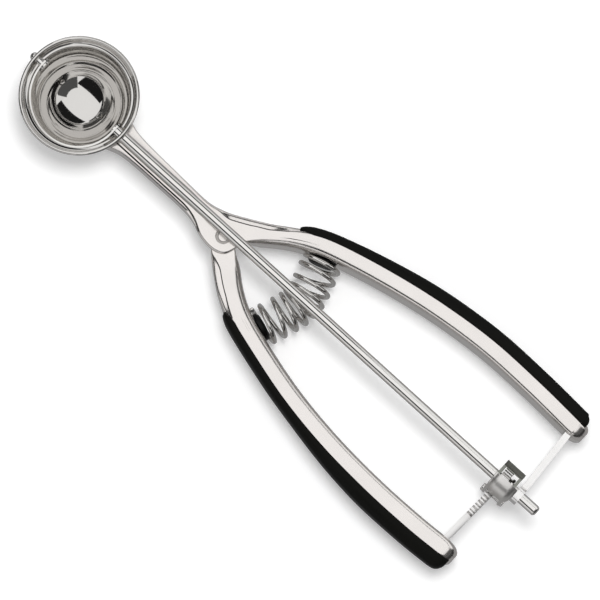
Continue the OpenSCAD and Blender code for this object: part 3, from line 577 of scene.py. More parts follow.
handle_steel = steel("Stamped_handle_steel", (0.83, 0.795, 0.77), 0.2, "sheet", 1400, 0.6, 0.06)
# The second handle material is painted shade: near-black strips that draw the shade in the fine
# creases
crease_painted_shade = steel("Crease_painted_shade", (0.04, 0.038, 0.035), 0.4, "sheet", 1400, 0.6, 0.06)
fixed_handle = handle("Fixed_handle", fixed_edges, fixed_sections, 1, (5.6, 12.2), (0, 5.0))
rivet_low, rivet_high = from_mouth(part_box("hinge_rivet"))
pivot = (rivet_low[0] + rivet_high[0]) / 2, (rivet_low[1] + rivet_high[1]) / 2
rivet_r = 2.1
bowl_trim = lathe("trim", arc(0, 0, bowl_out + 0.02, -90, 90, 60), (0, 0, rod_z), "z", 96)
sink_profile = [(0, 0), (rivet_r, 0), (rivet_r + 0.6, 1.2), (0, 1.2)]
sink = lathe("sink", sink_profile, (*pivot, face_z - 1.0), "z", 48)
tab_l, tab_w, tab_t = 6.2, 3.2, 1.2
arm_x, arm_root_y = 187.9, from_mouth(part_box("support_arm"))[1][1] - tab_w / 2
slot_low, slot_top = -13.0, face_z - sheet_t - 0.1
arm_slot = block((arm_x - 1.6, arm_root_y - 6, slot_low), (arm_x + 1.0, arm_root_y, slot_top))
cut(fixed_handle, bowl_trim, drill((*pivot, face_z - 4), rivet_r, 8, "z"), sink, arm_slot)
shade(fixed_handle, 28)
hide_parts("fixed_handle")
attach(fixed_handle, "frame")

# ---------------------------------------------------------------------------------------
# Moving handle.  A second stamping like the first.  It begins as a flat round leaf under
# the ear, steps up to the level of the other handle and runs back beside the rod.
# ---------------------------------------------------------------------------------------
moving_edges = (
    (61.5, 4.6, 66.5, -0.9), (65.0, 8.6, 70.4, 2.8), (69.5, 12.4, 74.5, 5.3),
    (75.4, 16.7, 80.0, 9.7), (83.3, 20.7, 86.6, 13.5), (93.6, 23.9, 95.9, 16.8),
    (112.7, 28.7, 114.2, 21.5), (132.0, 31.6, 132.9, 24.3), (152.0, 32.8, 152.2, 25.5),
    (170.0, 32.75, 169.8, 25.4), (181.5, 32.1, 181.0, 24.8), (183.6, 31.85, 183.4, 24.9),
    (184.95, 31.7, 184.85, 25.05), (186.05, 31.33, 186.0, 25.4), (186.83, 30.8, 186.81, 25.94),
    (187.25, 30.3, 187.25, 26.44), (187.46, 29.83, 187.46, 26.92),
)
moving_sections = (
    (leaf_drop, 0.15, 0.15, 1.16, 1.16), (leaf_drop, 0.5, 0.5, 1.16, 1.16),
    (leaf_drop, 1.9, 2.2, 8.1, 8.1), (leaf_drop * 0.4, 1.9, 2.6, 9.5, 9.5),
    (0, 1.9, 2.8, 12.0, 12.0), (0, 1.9, 2.6, 13.0, 13.0), (0, 1.9, 2.3, 13.0, 13.0),
    (0, 1.9, 2.0, 13.0, 13.0), (0, 1.9, 1.9, 13.0, 13.0), (0, 1.9, 1.9, 12.5, 12.5),
    (0, 1.9, 1.9, 12.0, 12.0), (0, 2.1, 2.1, 11.5, 11.5), (-0.2, 2.4, 2.4, 11.0, 11.0),
    (-0.75, 2.4, 2.4, 10.2, 10.2), (-1.5, 2.0, 2.0, 9.3, 9.3), (-2.15, 1.6, 1.6, 8.4, 8.4),
    (-2.7, 1.3, 1.3, 7.6, 7.6),
)
moving_handle = handle("Moving_handle", moving_edges, moving_sections, -1, (0.9, 4.3))
leaf_r = 5.0
fuse(moving_handle, drill((*pivot, face_z + leaf_drop - sheet_t), leaf_r, sheet_t, "z", 96))
rack_x = 182.0
rack_slot = block((rack_x - 2.2, -28.9, slot_low), (rack_x + 0.6, -23, slot_top))
cut(moving_handle, drill((*pivot, face_z - 8), rivet_r + run_fit, 12, "z"), rack_slot)
shade(moving_handle, 28)
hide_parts("moving_handle")
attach(moving_handle, "lever")

# ---------------------------------------------------------------------------------------
# Hinge rivet and washer.  A tubular rivet, flared flush into the ear and rolled over a
# plain washer underneath, so that the open tube shows as a dark eyelet.
# ---------------------------------------------------------------------------------------
rivet_bottom = rivet_low[2]
hollow_r = rivet_r - 0.7
rivet_profile = (
    [(hollow_r, rivet_bottom), (rivet_r + 0.75, rivet_bottom), (rivet_r + 1.0, rivet_bottom + 0.3)]
    + [(rivet_r + 1.0, rivet_bottom + 0.8), (rivet_r, rivet_bottom + 0.8), (rivet_r, face_z - 0.8)]
    + [(rivet_r + 0.05, face_z - 0.75), (rivet_r - 0.1, face_z - 0.66)]
    + [(rivet_r - 0.45, face_z - 0.78), (hollow_r, face_z - 1.15)]
)
rivet = lathe("Hinge_rivet", rivet_profile, (*pivot, 0), "z", 64)
shade(rivet, 35)
rivet.data.materials.append(turned_steel)
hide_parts("hinge_rivet")
washer_low, washer_high = from_mouth(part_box("hinge_washer"))
washer_r, washer_z = (washer_high[0] - washer_low[0]) / 2, washer_low[2]
washer_profile = [(rivet_r, washer_z), (washer_r - 0.15, washer_z), (washer_r, washer_z + 0.15),
                  (washer_r, washer_z + 0.7), (washer_r - 0.1, washer_z + 0.8),
                  (rivet_r, washer_z + 0.8)]
washer = lathe("Hinge_washer", washer_profile, (*pivot, 0), "z", 64)
shade(washer, 35)
washer.data.materials.append(turned_steel)
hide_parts("hinge_washer")
for piece in (rivet, washer):
    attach(piece, "frame")

# ---------------------------------------------------------------------------------------
# Grips.  Black rubber moulded straight on the outer shoulder and wall of each handle.
# The front end swells out of the steel and the back end is rounded over.
# ---------------------------------------------------------------------------------------
grip_crown = 0.4


def grip_ring(bend, depth, thick, reach):
    """Rubber section: (distance outwards from the steel, height over the face). reach is how
    far it laps over the face."""
    low = -depth + 0.6
    lap = math.degrees(math.acos(min(max((bend - reach) / (bend + 0.05), -1), 1)))
    over = arc(-bend, -bend, bend + 0.05, 0, lap, 8)
    edge_x, edge_z = over[-1]
    return (
        [(0.05, low)] + over
        + [(edge_x, edge_z + grip_crown * 0.5), (edge_x + 0.12, edge_z + grip_crown * 0.9)]
        + [(edge_x * 0.5, (edge_z + grip_crown) * 0.6 + grip_crown * 0.4)]
        + [(thick * 0.05, grip_crown - 0.06), (thick * 0.35, grip_crown - 0.3)]
        + [(thick * 0.62, -0.35), (thick * 0.82, -0.95), (thick * 0.95, -1.6), (thick, -2.4)]
        + [(thick + 0.11, -depth * 0.35), (thick + 0.15, -depth / 2), (thick + 0.11, -depth * 0.65)]
        + [(thick, low + 2.2), (thick * 0.93, low + 1.4), (thick * 0.7, low + 0.7)]
        + [(thick * 0.5, low + 0.3), (thick * 0.3, low)]
    )


def station_of(edges, x, column=2):
    """The station where an edge passes x: column 0 is the outer edge, 2 the inner one."""
    k = next(j for j in range(1, len(edges)) if edges[j][column] > x)
    return k - 1 + (x - edges[k - 1][column]) / (edges[k][column] - edges[k - 1][column])


def grip(name, edges, sections, span, thin, swell, swell_span, lap, side):
    """A grip from span[0] to span[1] along the tool. Its thickness grows from thin by swell
    over swell_span, both ends are rounded, and the front is cut on a slant."""
    rings = []
    length = span[1] - span[0]
    nose, tail = 4.2 / length, 3.4 / length
    shares = [nose * k / 12 for k in range(13)] + [0.045 + 0.92 * k / 90 for k in range(1, 90)]
    shares = [f for f in shares if f < 1 - tail]
    shares += [1 - tail + tail * math.sin(math.pi / 24 * k) for k in range(13)]
    for f in shares:
        s = station_of(edges, span[0] + length * f, 0)
        ox, oy, ix, iy = edge_at(edges, s)
        rise, bend, _, depth, _ = section_at(sections, s)
        width = math.hypot(ox - ix, oy - iy)
        ux, uy = (ox - ix) / width, (oy - iy) / width
        front, back = min(f * length / 4.0, 1), max((f - 1 + tail) / tail, 0)
        t = min(max((f - swell_span[0]) / (swell_span[1] - swell_span[0]), 0), 1)
        thick = (thin + swell * t * t * (3 - 2 * t)) * (0.2 + 0.8 * math.sqrt(1 - (1 - front) ** 2))
        thick *= 0.12 + 0.88 * math.sqrt(max(1 - back ** 2, 0))
        reach = lap * (0.12 + 0.88 * front) * (1 - 0.25 * back ** 2)
        rings.append([(ox + ux * a, side * (oy + uy * a), face_z + rise + h)
                      for a, h in grip_ring(bend, depth, thick, reach)])
    piece = loft(name, rings)
    ease_edges(piece, 0.25, 3, 50)
    shade(piece, 45)
    return piece


def rubber_material():
    """Satin black rubber with a moulded grain and an uneven, rubbed shine."""
    paint = bpy.data.materials.new("Grip_rubber")
    paint.use_nodes = True
    tree = paint.node_tree
    skin = tree.nodes["Principled BSDF"]
    skin.inputs["Specular IOR Level"].default_value = 0.08
    where = add_node(tree, "TexCoord")
    grain = add_node(tree, "TexNoise", Scale=2600.0, Detail=2.0)
    rubbed = add_node(tree, "TexNoise", Scale=55.0, Detail=5.0)
    tone = two_tones(tree, (0.0025, 0.0025, 0.002), (0.006, 0.006, 0.005))
    polish = add_node(tree, "MapRange", From_Min=0.3, From_Max=0.7, To_Min=0.42, To_Max=0.62)
    relief = add_node(tree, "Bump", Strength=0.35, Distance=0.06 * MM)
    connect(tree, (where, "Object", grain, "Vector"), (where, "Object", rubbed, "Vector"),
            (rubbed, "Fac", tone, "Factor"), (tone, "Result", skin, "Base Color"),
            (rubbed, "Fac", polish, "Value"), (polish, 0, skin, "Roughness"),
            (grain, "Fac", relief, "Height"), (relief, 0, skin, "Normal"))
    return paint


grip_rubber = rubber_material()
fixed_grip = grip("Fixed_grip", fixed_edges, fixed_sections, (80.5, 190.3),
                  1.3, 1.35, (0.02, 0.48), 1.52, 1)
moving_grip = grip("Moving_grip", moving_edges, moving_sections, (80.9, 186.6),
                   1.1, 1.9, (0.3, 0.72), 1.66, -1)
for piece, node, body in ((fixed_grip, "fixed_grip", "frame"),
                          (moving_grip, "moving_grip", "lever")):
    piece.data.materials.append(grip_rubber)
    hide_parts(node)
    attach(piece, body)

# ---------------------------------------------------------------------------------------
# Return spring.  Bright hard-drawn wire coiled into an open compression spring with
# closed ends.  It bows towards the handle ends because its seats aren't parallel.
# ---------------------------------------------------------------------------------------
spring_od, wire_d, coils = 14.0, 1.5, 7
spring_z = face_z - spring_od / 2 - 0.35
spring_r = (spring_od - wire_d) / 2
turns = coils + 2
spring_bow = 4.0


def wall_spot(edges, s):
    """A place on a handle's inner wall, seen from above."""
    return Vector(edge_at(edges, s)[2:])


def wall_normal(edges, s):
    """The direction from the inner wall towards the other handle."""
    d = (wall_spot(edges, s + 0.1) - wall_spot(edges, s - 0.1)).normalized()
    return Vector((d.y, -d.x))


spring_reach = 28.5
fixed_s = station_of(fixed_edges, pivot[0] + spring_reach)
moving_s = station_of(moving_edges, pivot[0] + spring_reach)
fixed_seat, moving_seat = wall_spot(fixed_edges, fixed_s), wall_spot(moving_edges, moving_s)
fixed_normal, moving_normal = wall_normal(fixed_edges, fixed_s), wall_normal(moving_edges, moving_s)
over = Vector((1, -1))
seat_lift = 0.35
lift = wire_d / 2 + seat_lift
spring_start = fixed_seat + fixed_normal * lift
spring_stop = (moving_seat + moving_normal * lift) * over
end_share = (wire_d + 0.1) / (spring_stop - spring_start).length
pull = spring_bow * 8 / (fixed_normal.x + moving_normal.x)


def spring_axis(t):
    """The bowed centre line from seat to seat."""
    return ((2 * t ** 3 - 3 * t ** 2 + 1) * spring_start
            + (t ** 3 - 2 * t ** 2 + t) * pull * fixed_normal
            + (3 * t ** 2 - 2 * t ** 3) * spring_stop
            - (t ** 3 - t ** 2) * pull * moving_normal * over)


def turn_share(k):
    """Share of the spring's length after k turns: the end coils lie close together."""
    if k < 1:
        return end_share * k
    if k > turns - 1:
        return 1 - end_share * (turns - k)
    return end_share + (1 - 2 * end_share) * (k - 1) / (turns - 2)


def wire_place(k):
    """The middle of the wire after k turns, and the middle of the spring beside it."""
    t = turn_share(k)
    centre = spring_axis(t)
    run = (spring_axis(min(t + 0.01, 1)) - spring_axis(max(t - 0.01, 0))).normalized()
    across = Vector((run.y, -run.x))
    turn = math.radians(360 * k + 20)
    flat = centre + across * spring_r * math.cos(turn)
    place = Vector((flat.x, flat.y, spring_z + spring_r * math.sin(turn)))
    return place, Vector((*centre, spring_z))


def wire_ring(k, sides=14):
    """The wire's round section after k turns."""
    place, middle = wire_place(k)
    run = (wire_place(k + 0.02)[0] - wire_place(k - 0.02)[0]).normalized()
    out = place - middle
    out = (out - out.dot(run) * run).normalized()
    side = run.cross(out)
    return [tuple(place + wire_d / 2 * (math.cos(a) * out + math.sin(a) * side))
            for a in (2 * math.pi * j / sides for j in range(sides))]


spring = loft("Return_spring", [wire_ring(k / 36) for k in range(turns * 36 + 1)])
ease_edges(spring, 0.15, 2, 50)
shade(spring, 40)
spring_steel = steel("Spring_wire", (0.72, 0.705, 0.685), 0.07, "sheet", 2500, 0.8, 0.08, 0.05)
spring.data.materials.append(spring_steel)
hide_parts("return_spring")
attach(spring, "frame")
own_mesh(spring)

# ---------------------------------------------------------------------------------------
# Spring seats.  Two turned steel buttons that hold the ends of the spring.  Each has a
# shank that is staked through its handle's inner wall.
# ---------------------------------------------------------------------------------------
button_r = spring_od / 2 - wire_d - 0.8
button_profile = (
    [(0, -sheet_t - 0.85), (2.1, -sheet_t - 0.85), (2.3, -sheet_t - 0.6), (2.3, -sheet_t - 0.2)]
    + [(1.5, -sheet_t - 0.2), (1.5, seat_lift), (button_r, seat_lift), (button_r, seat_lift + 1.1)]
    + [(button_r - 0.8, seat_lift + 1.8), (button_r - 1.1, seat_lift + 1.9), (0, seat_lift + 1.9)]
)
# The buttons are coloured near-black as painted shade for the spring ends, which sit in the
# handles' shade
seat_painted_shade = steel("Seat_painted_shade", (0.02, 0.02, 0.02), 0.45, "object", 1200, 0.6, 0.1)
for name, node, body, seat, normal in (
    ("Fixed_spring_seat", "fixed_spring_seat", "frame", fixed_seat, fixed_normal),
    ("Moving_spring_seat", "moving_spring_seat", "lever", moving_seat * over, moving_normal * over),
):
    button = lathe(name, button_profile, (0, 0, 0), "x", 48)
    aim = Matrix.Rotation(math.atan2(normal.y, normal.x), 4, "Z")
    button.data.transform(Matrix.Translation(spot(seat.x, seat.y, spring_z)) @ aim
                          @ Matrix.Translation(-mouth))
    shade(button, 35)
    button.data.materials.append(seat_painted_shade)
    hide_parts(node)
    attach(button, body)

# ---------------------------------------------------------------------------------------
# Pinion and spacer.  A small milled gear and a flanged ring, both pressed on the rod.
# The gear's lowest tooth stands in the rack when the band is half-way round.
# ---------------------------------------------------------------------------------------
tooth_m, tooth_count, pressure = 0.8, 10, math.radians(25)
pitch_r = tooth_m * tooth_count / 2
addendum = 0.81 * tooth_m
pinion_r, root_r = pitch_r + addendum, pitch_r - addendum - 0.2
base_r = pitch_r * math.cos(pressure)
tooth_step = math.pi * tooth_m
backlash = 0.25


def involute(a):
    """The angle over which the flank has unrolled where its pressure angle is a."""
    return math.tan(a) - a


def flank_angle(r):
    """Half the angle that a tooth spans at radius r."""
    half = (tooth_step - backlash) / 4 / pitch_r
    return half + involute(pressure) - involute(math.acos(min(base_r / max(r, base_r), 1)))


def prism(name, outline, x0, x1, tilt=0.0):
    """Extrudes an outline of (y, height over the rod axis) along the rod."""
    turn = math.radians(tilt)
    c, s = math.cos(turn), math.sin(turn)
    flat = [(y * c - z * s, y * s + z * c) for y, z in outline]
    n = len(flat)
    places = [(x, y, rod_z + z) for x in (x0, x1) for y, z in flat]
    faces = [tuple(range(n)), tuple(range(2 * n - 1, n - 1, -1))]
    faces += [(j, j + n, (j + 1) % n + n, (j + 1) % n) for j in range(n)]
    piece = new_piece(name, places, faces)
    outward(piece)
    return piece


flank = [(r, flank_angle(r)) for r in (root_r, base_r, (base_r + pitch_r) / 2, pitch_r,
                                       (pitch_r + pinion_r) / 2, pinion_r)]
gear_outline = []
for k in range(tooth_count):
    for side, rows in ((-1, flank), (1, flank[::-1])):
        for r, half in rows:
            a = -math.pi / 2 + 2 * math.pi * k / tooth_count + side * half
            gear_outline.append((r * math.cos(a), r * math.sin(a)))
pinion_low, pinion_high = from_mouth(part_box("pinion"))
pinion = prism("Pinion", gear_outline, pinion_low[0], pinion_high[0], rest_tilt)
cut(pinion, drill((pinion_low[0] - 1, 0, rod_z), rod_r, 8))
ease_edges(pinion, 0.1, 1, 40)
shade(pinion, 30)
cut_steel = steel("Blanked_steel", (0.9, 0.89, 0.88), 0.22, "object", 700, 0.5, 0.12, 0.14)
pinion.data.materials.append(cut_steel)
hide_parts("pinion")
spacer_x0, spacer_x1 = (corner[0] for corner in from_mouth(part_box("pinion_spacer")))
sleeve_r, flange_r = rod_r + 0.6, rod_r + 1.2
spacer_profile = [(rod_r, spacer_x0), (sleeve_r, spacer_x0), (sleeve_r, spacer_x1 - 1),
                  (flange_r - 0.15, spacer_x1 - 1), (flange_r, spacer_x1 - 0.85),
                  (flange_r, spacer_x1 - 0.15), (flange_r - 0.15, spacer_x1), (rod_r, spacer_x1)]
spacer = lathe("Pinion_spacer", spacer_profile, (0, 0, rod_z), "x", 48)
shade(spacer, 35)
spacer.data.materials.append(cut_steel)
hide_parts("pinion_spacer")
for piece in (pinion, spacer):
    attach(piece, "drive")

# ---------------------------------------------------------------------------------------
# Rack.  A blanked strip that stands on edge across the tool, with teeth on its upper
# edge.  A folded tab at its root is riveted under the moving handle's face.
# ---------------------------------------------------------------------------------------
strip_t, strip_h = 2.2, 5.8
strip_top = face_z - sheet_t - 0.15
strip_bottom = strip_top - strip_h
rack_pitch_z = rod_z - pitch_r
full_turn, gear_ratio, rack_reach = 140, 29.5, 118
shank_r, shank_inset = 1.0, 0.6
mid_squeeze = math.radians(full_turn / gear_ratio / 2)
channel_y = -from_mouth(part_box("rack"))[0][1] - tab_w / 2
rack_root = rack_reach * math.sin(mid_squeeze) - pivot[1] - channel_y
tooth_flat = tooth_step / 2 - backlash / 2
lean = math.tan(pressure)
dedendum = addendum + 0.2
rack_outline = [(rack_root, strip_bottom), (rack_root, strip_top)]
first_gap = -pivot[1] - 4 * tooth_step
rack_outline += [(first_gap, strip_top), (first_gap, rack_pitch_z - dedendum)]
for k in range(-4, 4):
    middle = -pivot[1] + (k + 0.5) * tooth_step
    rack_outline += [
        (middle - tooth_flat / 2 - lean * dedendum, rack_pitch_z - dedendum),
        (middle - tooth_flat / 2 + lean * addendum, rack_pitch_z + addendum),
        (middle + tooth_flat / 2 - lean * addendum, rack_pitch_z + addendum),
        (middle + tooth_flat / 2 + lean * dedendum, rack_pitch_z - dedendum)]
rack_tip = -pivot[1] + 3.5 * tooth_step + 0.9
rack_outline += [(rack_tip, rack_pitch_z - dedendum), (rack_tip, strip_bottom)]


def swung(piece):
    """Turns a piece made at mid-travel back to rest about the hinge rivet."""
    hub = spot(*pivot, 0)
    turn = Matrix.Rotation(-mid_squeeze, 4, "Z")
    piece.data.transform(Matrix.Translation(hub) @ turn @ Matrix.Translation(-hub))


rack = prism("Rack", [(y + pivot[1], z - rod_z) for y, z in rack_outline],
             rack_x - strip_t / 2, rack_x + strip_t / 2)
tab = block((rack_x + strip_t / 2 - tab_l, pivot[1] + rack_root - tab_w / 2, strip_top - tab_t),
            (rack_x + strip_t / 2, pivot[1] + rack_root + tab_w / 2, strip_top))
fuse(rack, tab)
cut(rack, drill((rack_x - tab_l / 2 - shank_inset, pivot[1] + rack_root, strip_top - 5),
                shank_r, 8, "z"))
swung(rack)
ease_edges(rack, 0.14, 2, 40)
shade(rack, 35)
rack_steel = steel("Rack_steel", (0.92, 0.91, 0.9), 0.32, "object", 700, 0.5, 0.12, 0.1)
rack.data.materials.append(rack_steel)
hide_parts("rack")
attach(rack, "lever")

# ---------------------------------------------------------------------------------------
# Support arm.  A second blanked strip, riveted under the fixed handle's face, with a
# round boss at its foot in which the back of the rod turns.
# ---------------------------------------------------------------------------------------
arm_root = (arm_x - 0.4, arm_root_y)
boss_r = 3.1
arm = drill((arm_x, 0, rod_z), boss_r, strip_t, "x", 64)
foot = block((arm_x, 0, strip_bottom), (arm_x + strip_t, 5.5, strip_top))
slant_y = arm_root[1] - tab_w / 2
slant = new_piece("slant", [(x, y, z) for z in (strip_bottom, strip_top) for x, y in (
    (arm_x, 5.4), (arm_x + strip_t, 5.4),
    (arm_root[0] + strip_t / 2, slant_y), (arm_root[0] - strip_t / 2, slant_y))],
    [(3, 2, 1, 0), (4, 5, 6, 7), (0, 1, 5, 4), (1, 2, 6, 5), (2, 3, 7, 6), (3, 0, 4, 7)])
arm_tab = block((arm_root[0] + strip_t / 2 - tab_l, arm_root[1] - tab_w / 2, strip_top - tab_t),
                (arm_root[0] + strip_t / 2, arm_root[1] + tab_w / 2, strip_top))
fuse(arm, foot, slant, arm_tab)
arm_rivet_x = arm_root[0] + strip_t / 2 - tab_l / 2 - shank_inset
cut(arm, drill((arm_x - 4, 0, rod_z), rod_r + run_fit, 12),
    drill((arm_rivet_x, arm_root[1], strip_top - 5), shank_r, 8, "z"))
ease_edges(arm, 0.18, 2, 40)
shade(arm, 35)
arm.data.materials.append(cut_steel)
arm.name = arm.data.name = "Support_arm"
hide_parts("support_arm")
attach(arm, "frame")

# ---------------------------------------------------------------------------------------
# Strip rivets.  Each tab hangs on one solid rivet.  Its head is dressed flush with the
# front face and polished with it, so that no edge shows.
# ---------------------------------------------------------------------------------------
for name, node, body in (("Arm_rivet", "arm_rivet", "frame"),
                         ("Rack_rivet", "rack_rivet", "lever")):
    low, high = from_mouth(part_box(node))
    x, y = (low[0] + high[0]) / 2, (low[1] + high[1]) / 2
    foot_z = strip_top - tab_t - 0.7
    stake_profile = [(0, foot_z), (1.45, foot_z), (1.7, foot_z + 0.25), (1.7, foot_z + 0.65),
                     (shank_r, foot_z + 0.65), (shank_r, face_z - 0.1), (0.92, face_z - 0.04),
                     (0, face_z - 0.04)]
    stake = lathe(name, stake_profile, (x, y, 0), "z", 40)
    shade(stake, 35)
    stake.data.materials.append(turned_steel)
    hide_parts(node)
    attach(stake, body)

# ---------------------------------------------------------------------------------------
# Gear housing.  A pressed steel box round the pinion: two cheeks that the rod runs
# through, a wall towards the fixed handle and a cover rolled over the other side.
# ---------------------------------------------------------------------------------------
housing_low, housing_high = from_mouth(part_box("gear_housing"))
housing_x0 = housing_low[0]
cover_out = (housing_high[1] - housing_low[1]) / 2
housing_t, cheek_gap = 1.0, 5.5
cover_in = cover_out - housing_t
housing_x1 = housing_x0 + 2 * housing_t + cheek_gap
cheek_low = housing_low[2] - rod_z
guide_low, guide_high = from_mouth(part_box("rack_guide_pin"))
guide = (guide_low[1] + guide_high[1]) / 2, (guide_low[2] + guide_high[2]) / 2 - rod_z
pin_r = 0.8
wall_top = cover_out * 0.72
wall_low = strip_top + 0.6 - rod_z
cover_r = pinion_r + 0.75
cheek_outline = (
    [(cover_r - 2.2, cheek_low), (guide[0] - 1.2, cheek_low), (-cover_r + 1.1, -1.9)]
    + arc(0, 0, cover_r - 1.1, 180, 75, 20)
    + [(cover_out - 1.6, wall_top - 0.3), (cover_out, wall_top - 1.8), (cover_out, cheek_low + 2.6)]
)


def barrel(name, r, x0, x1, corner):
    """A round bar along the rod with rounded rims."""
    rim = arc(0, 0, corner, 90, 0, 8)
    profile = ([(0, x0)] + [(r - corner + a, x0 + corner - b) for a, b in rim]
               + [(r - corner + a, x1 - corner + b) for a, b in rim[::-1]] + [(0, x1)])
    return lathe(name, profile, (0, 0, rod_z), "x", 96)


housing = prism("Gear_housing", cheek_outline, housing_x0, housing_x0 + housing_t)
cover = barrel("cover", cover_r, housing_x0 - 0.15, arm_x - 0.02, 2.7)
cut(cover, barrel("hollow", pinion_r + 0.25, housing_x0 + 0.5, arm_x - 0.6, 2.2),
    block((housing_x0 - 5, 0.6, rod_z - 9), (arm_x + 5, 9, rod_z + 9)),
    block((housing_x0 - 5, -9, rod_z - 9), (arm_x + 5, 9, rod_z - 1.9)))
cheek = prism("cheek", cheek_outline, housing_x1 - housing_t, housing_x1)
wall = prism("wall", [(cover_in, wall_low), (cover_out, wall_low), (cover_out, wall_top - 1.8),
                      (cover_out - 1.8, wall_top), (cover_out - 2.4, wall_top - 0.3),
                      (cover_in, wall_top - 2.6)], housing_x0, housing_x1)
fuse(housing, cover, cheek, wall)
cut(housing, drill((housing_x0 - 2, 0, rod_z), rod_r + run_fit, 14),
    drill((housing_x0 - 2, guide[0], rod_z + guide[1]), pin_r, 14))
ease_edges(housing, 0.38, 3, 40)
shade(housing, 40)
# Faces on the fixed-handle side of the rod, the wall and the inside of the box, get a dark copy of
# the housing steel as painted shade
for name, colour, rough in (("Housing_steel", (0.79, 0.775, 0.755), 0.4),
                            ("Housing_painted_shade", (0.25, 0.255, 0.23), 0.3)):
    housing.data.materials.append(steel(name, colour, rough, "object", 500, 0.5, 0.12, 0.12))
for side in housing.data.polygons:
    side.material_index = int(side.center.y > mouth.y + 0.62 * MM)
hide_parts("gear_housing")
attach(housing, "frame")

# ---------------------------------------------------------------------------------------
# Rack guide pin.  A turned steel pin with a head, pushed across the housing and staked at
# its other end.  The back of the rack slides on it.
# ---------------------------------------------------------------------------------------
pin_x0, pin_x1 = guide_low[0], guide_high[0]
pin_profile = [(0, pin_x0), (pin_r + 0.25, pin_x0), (pin_r + 0.5, pin_x0 + 0.25),
               (pin_r + 0.5, pin_x0 + 0.7), (pin_r, pin_x0 + 0.7), (pin_r, pin_x1 - 0.6),
               (pin_r + 0.4, pin_x1 - 0.6), (pin_r + 0.4, pin_x1 - 0.2),
               (pin_r + 0.15, pin_x1), (0, pin_x1)]
pin = lathe("Rack_guide_pin", pin_profile, (0, guide[0], rod_z + guide[1]), "x", 32)
shade(pin, 35)
pin.data.materials.append(turned_steel)
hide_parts("rack_guide_pin")
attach(pin, "frame")

# ---------------------------------------------------------------------------------------
# Studio.  The scoop lies on a plain white table under a white ceiling, seen from almost
# straight above.  Dark, grey and pale cards round it give the steel its lines.
# ---------------------------------------------------------------------------------------
def bare_material(name):
    """A material without any node."""
    paint = bpy.data.materials.new(name)
    paint.use_nodes = True
    paint.node_tree.nodes.clear()
    return paint


def card_paint(name, level):
    """A card of one even brightness."""
    paint = bare_material(name)
    tree = paint.node_tree
    even, out = add_node(tree, "Emission", Strength=level), add_node(tree, "OutputMaterial")
    connect(tree, (even, 0, out, "Surface"))
    return paint


def plain_object(name, places, faces, paint):
    """An object of the studio, with places in metres."""
    mesh = bpy.data.meshes.new(name)
    mesh.from_pydata(places, [], faces)
    mesh.materials.append(paint)
    piece = bpy.data.objects.new(name, mesh)
    bpy.context.scene.collection.objects.link(piece)
    return piece


def card(name, places, faces, paint):
    """A card that only the steel sees."""
    piece = plain_object(name, places, faces, paint)
    piece.visible_camera = piece.visible_shadow = piece.visible_diffuse = False


# The table is matt white, with a faint glow to the camera and in the steel
table_white = bare_material("Table_white")
table_tree = table_white.node_tree
matt = add_node(table_tree, "BsdfDiffuse", Color=(0.92, 0.92, 0.92, 1))
glow, both = add_node(table_tree, "Emission"), add_node(table_tree, "AddShader")
table_seen = add_node(table_tree, "LightPath")
seen_or_mirrored = add_node(table_tree, "Math", "MAXIMUM")
share = add_node(table_tree, "Math", "MULTIPLY", by=0.2)
connect(table_tree, (table_seen, "Is Camera Ray", seen_or_mirrored, 0),
        (table_seen, "Is Glossy Ray", seen_or_mirrored, 1), (seen_or_mirrored, 0, share, 0),
        (share, 0, glow, "Strength"), (matt, 0, both, 0), (glow, 0, both, 1),
        (both, 0, add_node(table_tree, "OutputMaterial"), "Surface"))
floor_z = cad_box[0][2] - 0.0004
floor = plain_object("Table", [(-3, -3, floor_z), (3, -3, floor_z), (3, 3, floor_z),
                               (-3, 3, floor_z)], [(0, 1, 2, 3)], table_white)

# The room is white to the camera and in the steel, and lights the scoop half as strongly
world = bpy.data.worlds.new("White_room")
bpy.context.scene.world = world
world.use_nodes = True
sky = world.node_tree
backdrop = sky.nodes["Background"]
backdrop.inputs["Color"].default_value = (1, 1, 1, 1)
sky_seen = add_node(sky, "LightPath")
plain, also = add_node(sky, "Math", "MAXIMUM"), add_node(sky, "Math", "MAXIMUM")
level = add_node(sky, "MapRange", To_Min=0.5, To_Max=1.0)
connect(sky, (sky_seen, "Is Camera Ray", plain, 0), (sky_seen, "Is Glossy Ray", plain, 1),
        (plain, 0, also, 0), (sky_seen, "Is Transmission Ray", also, 1),
        (also, 0, level, "Value"), (level, 0, backdrop, "Strength"))

# One soft square lamp, which doesn't show in the steel
key_data = bpy.data.lights.new("Key", "AREA")
key_data.shape, key_data.size, key_data.energy = "SQUARE", 0.4, 8.6
key = bpy.data.objects.new("Key", key_data)
key.location = (-0.03, 0.16, 1.25)
key.rotation_euler = (-key.location).to_track_quat("-Z", "Y").to_euler()
bpy.context.scene.collection.objects.link(key)
key.visible_glossy = False

black_card, grey_card = card_paint("Black_card", 0.015), card_paint("Grey_card", 0.1)
low_card, under_card = card_paint("Low_card", 0.7), card_paint("Under_card", 0.32)
dim_card, window_card = card_paint("Dim_card", 0.04), card_paint("Window_card", 1.0)
panel = card_paint("Ceiling_panel", 1.07)
ceiling_z, window_y, card_reach = 0.55, 0.1, 0.6
for name, paint, corners in (
    ("Ceiling", panel, ((-0.72, -0.3), (0.26, -0.3), (0.26, 0.34), (-0.72, 0.34))),
    ("Card_fixed_side", black_card, ((-0.62, 0.34), (0.3, 0.34), (0.4, 0.8), (-0.48, 0.8))),
    ("Card_moving_side", black_card, ((-0.53, -0.3), (0.3, -0.3), (0.35, -0.84), (-0.7, -0.84))),
):
    card(name, [(x, y, ceiling_z) for x, y in corners], [(0, 1, 2, 3)], paint)

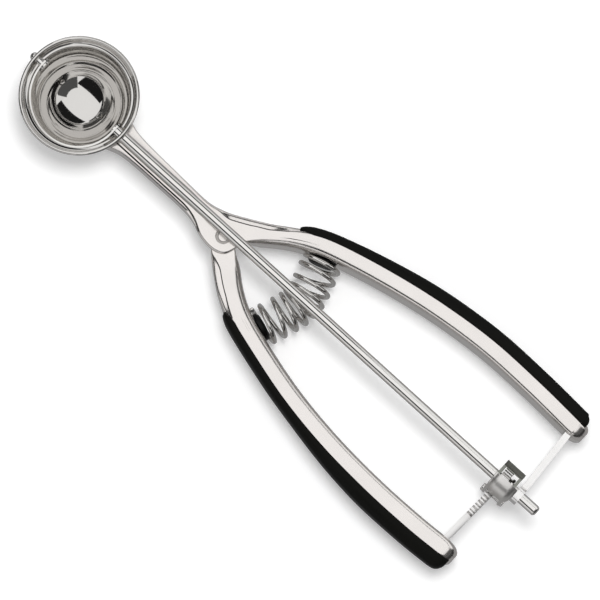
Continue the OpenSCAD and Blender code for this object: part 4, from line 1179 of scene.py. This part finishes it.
# Cards bent round the tool: lower and upper height, first and last bearing, in degrees
for name, low, high, start, end, paint, steps in (
    ("Card_handle_end", 27, 64, -48, 36, grey_card, 24),
    ("Card_low_fixed", 0, 24, 75, 160, low_card, 36),
    ("Card_low_moving", 0, 24, 225, 300, low_card, 36),
    ("Card_bowl_end", 0, 36, 160, 225, black_card, 36),
    ("Card_low_dark", 0, 27, -60, 75, dim_card, 40),
):
    places = []
    for x, y in arc(0, 0, card_reach, start, end, steps):
        for height in (math.radians(low), math.radians(high)):
            flat = math.cos(height)
            places.append((x * flat, y * flat, card_reach * math.sin(height)))
    card(name, places, [(2 * k, 2 * k + 1, 2 * k + 3, 2 * k + 2) for k in range(steps)], paint)
window = ((0.028, 0.15), (0.042, 0.095), (0.06, 0.055), (0.08, 0.031), (0.2, 0.031), (0.2, 0.17))
card("Card_window", [(x, window_y, z) for x, z in window], [tuple(range(6))], window_card)
card("Card_under", [(x, y, floor_z + 0.0002) for x, y in arc(0, 0, card_reach, 0, 355, 71)],
     [tuple(range(72))], under_card)

# The camera looks almost straight down, turned so that the rod lies aslant
image_turn = math.radians(42.37)
image_right = Vector((math.cos(image_turn), math.sin(image_turn), 0))
image_up = Vector((-math.sin(image_turn), math.cos(image_turn), 0))

camera_data = bpy.data.cameras.new("Camera")
camera = bpy.data.objects.new("Camera", camera_data)
bpy.context.scene.collection.objects.link(camera)
bpy.context.scene.camera = camera
camera_away = 1.3
picture_width = 0.19092
sensor = 36.0
camera_data.sensor_width = sensor
camera_data.lens = sensor * camera_away / picture_width
camera_data.clip_end = 20
aim = spot(96.05, -0.612, -3.6)
tilt_down, tilt_left = math.radians(7.0), math.radians(1.0)
back = Vector((0, 0, 1)) * math.cos(tilt_down) - image_up * math.sin(tilt_down)
back = (back * math.cos(tilt_left) - image_right * math.sin(tilt_left)).normalized()
right = image_up.cross(back).normalized()
up = back.cross(right)
camera.location = aim + back * camera_away
camera.rotation_mode = "QUATERNION"
camera.rotation_quaternion = Matrix((right, up, back)).transposed().to_quaternion()

scene = bpy.context.scene
scene.view_settings.view_transform = "Standard"
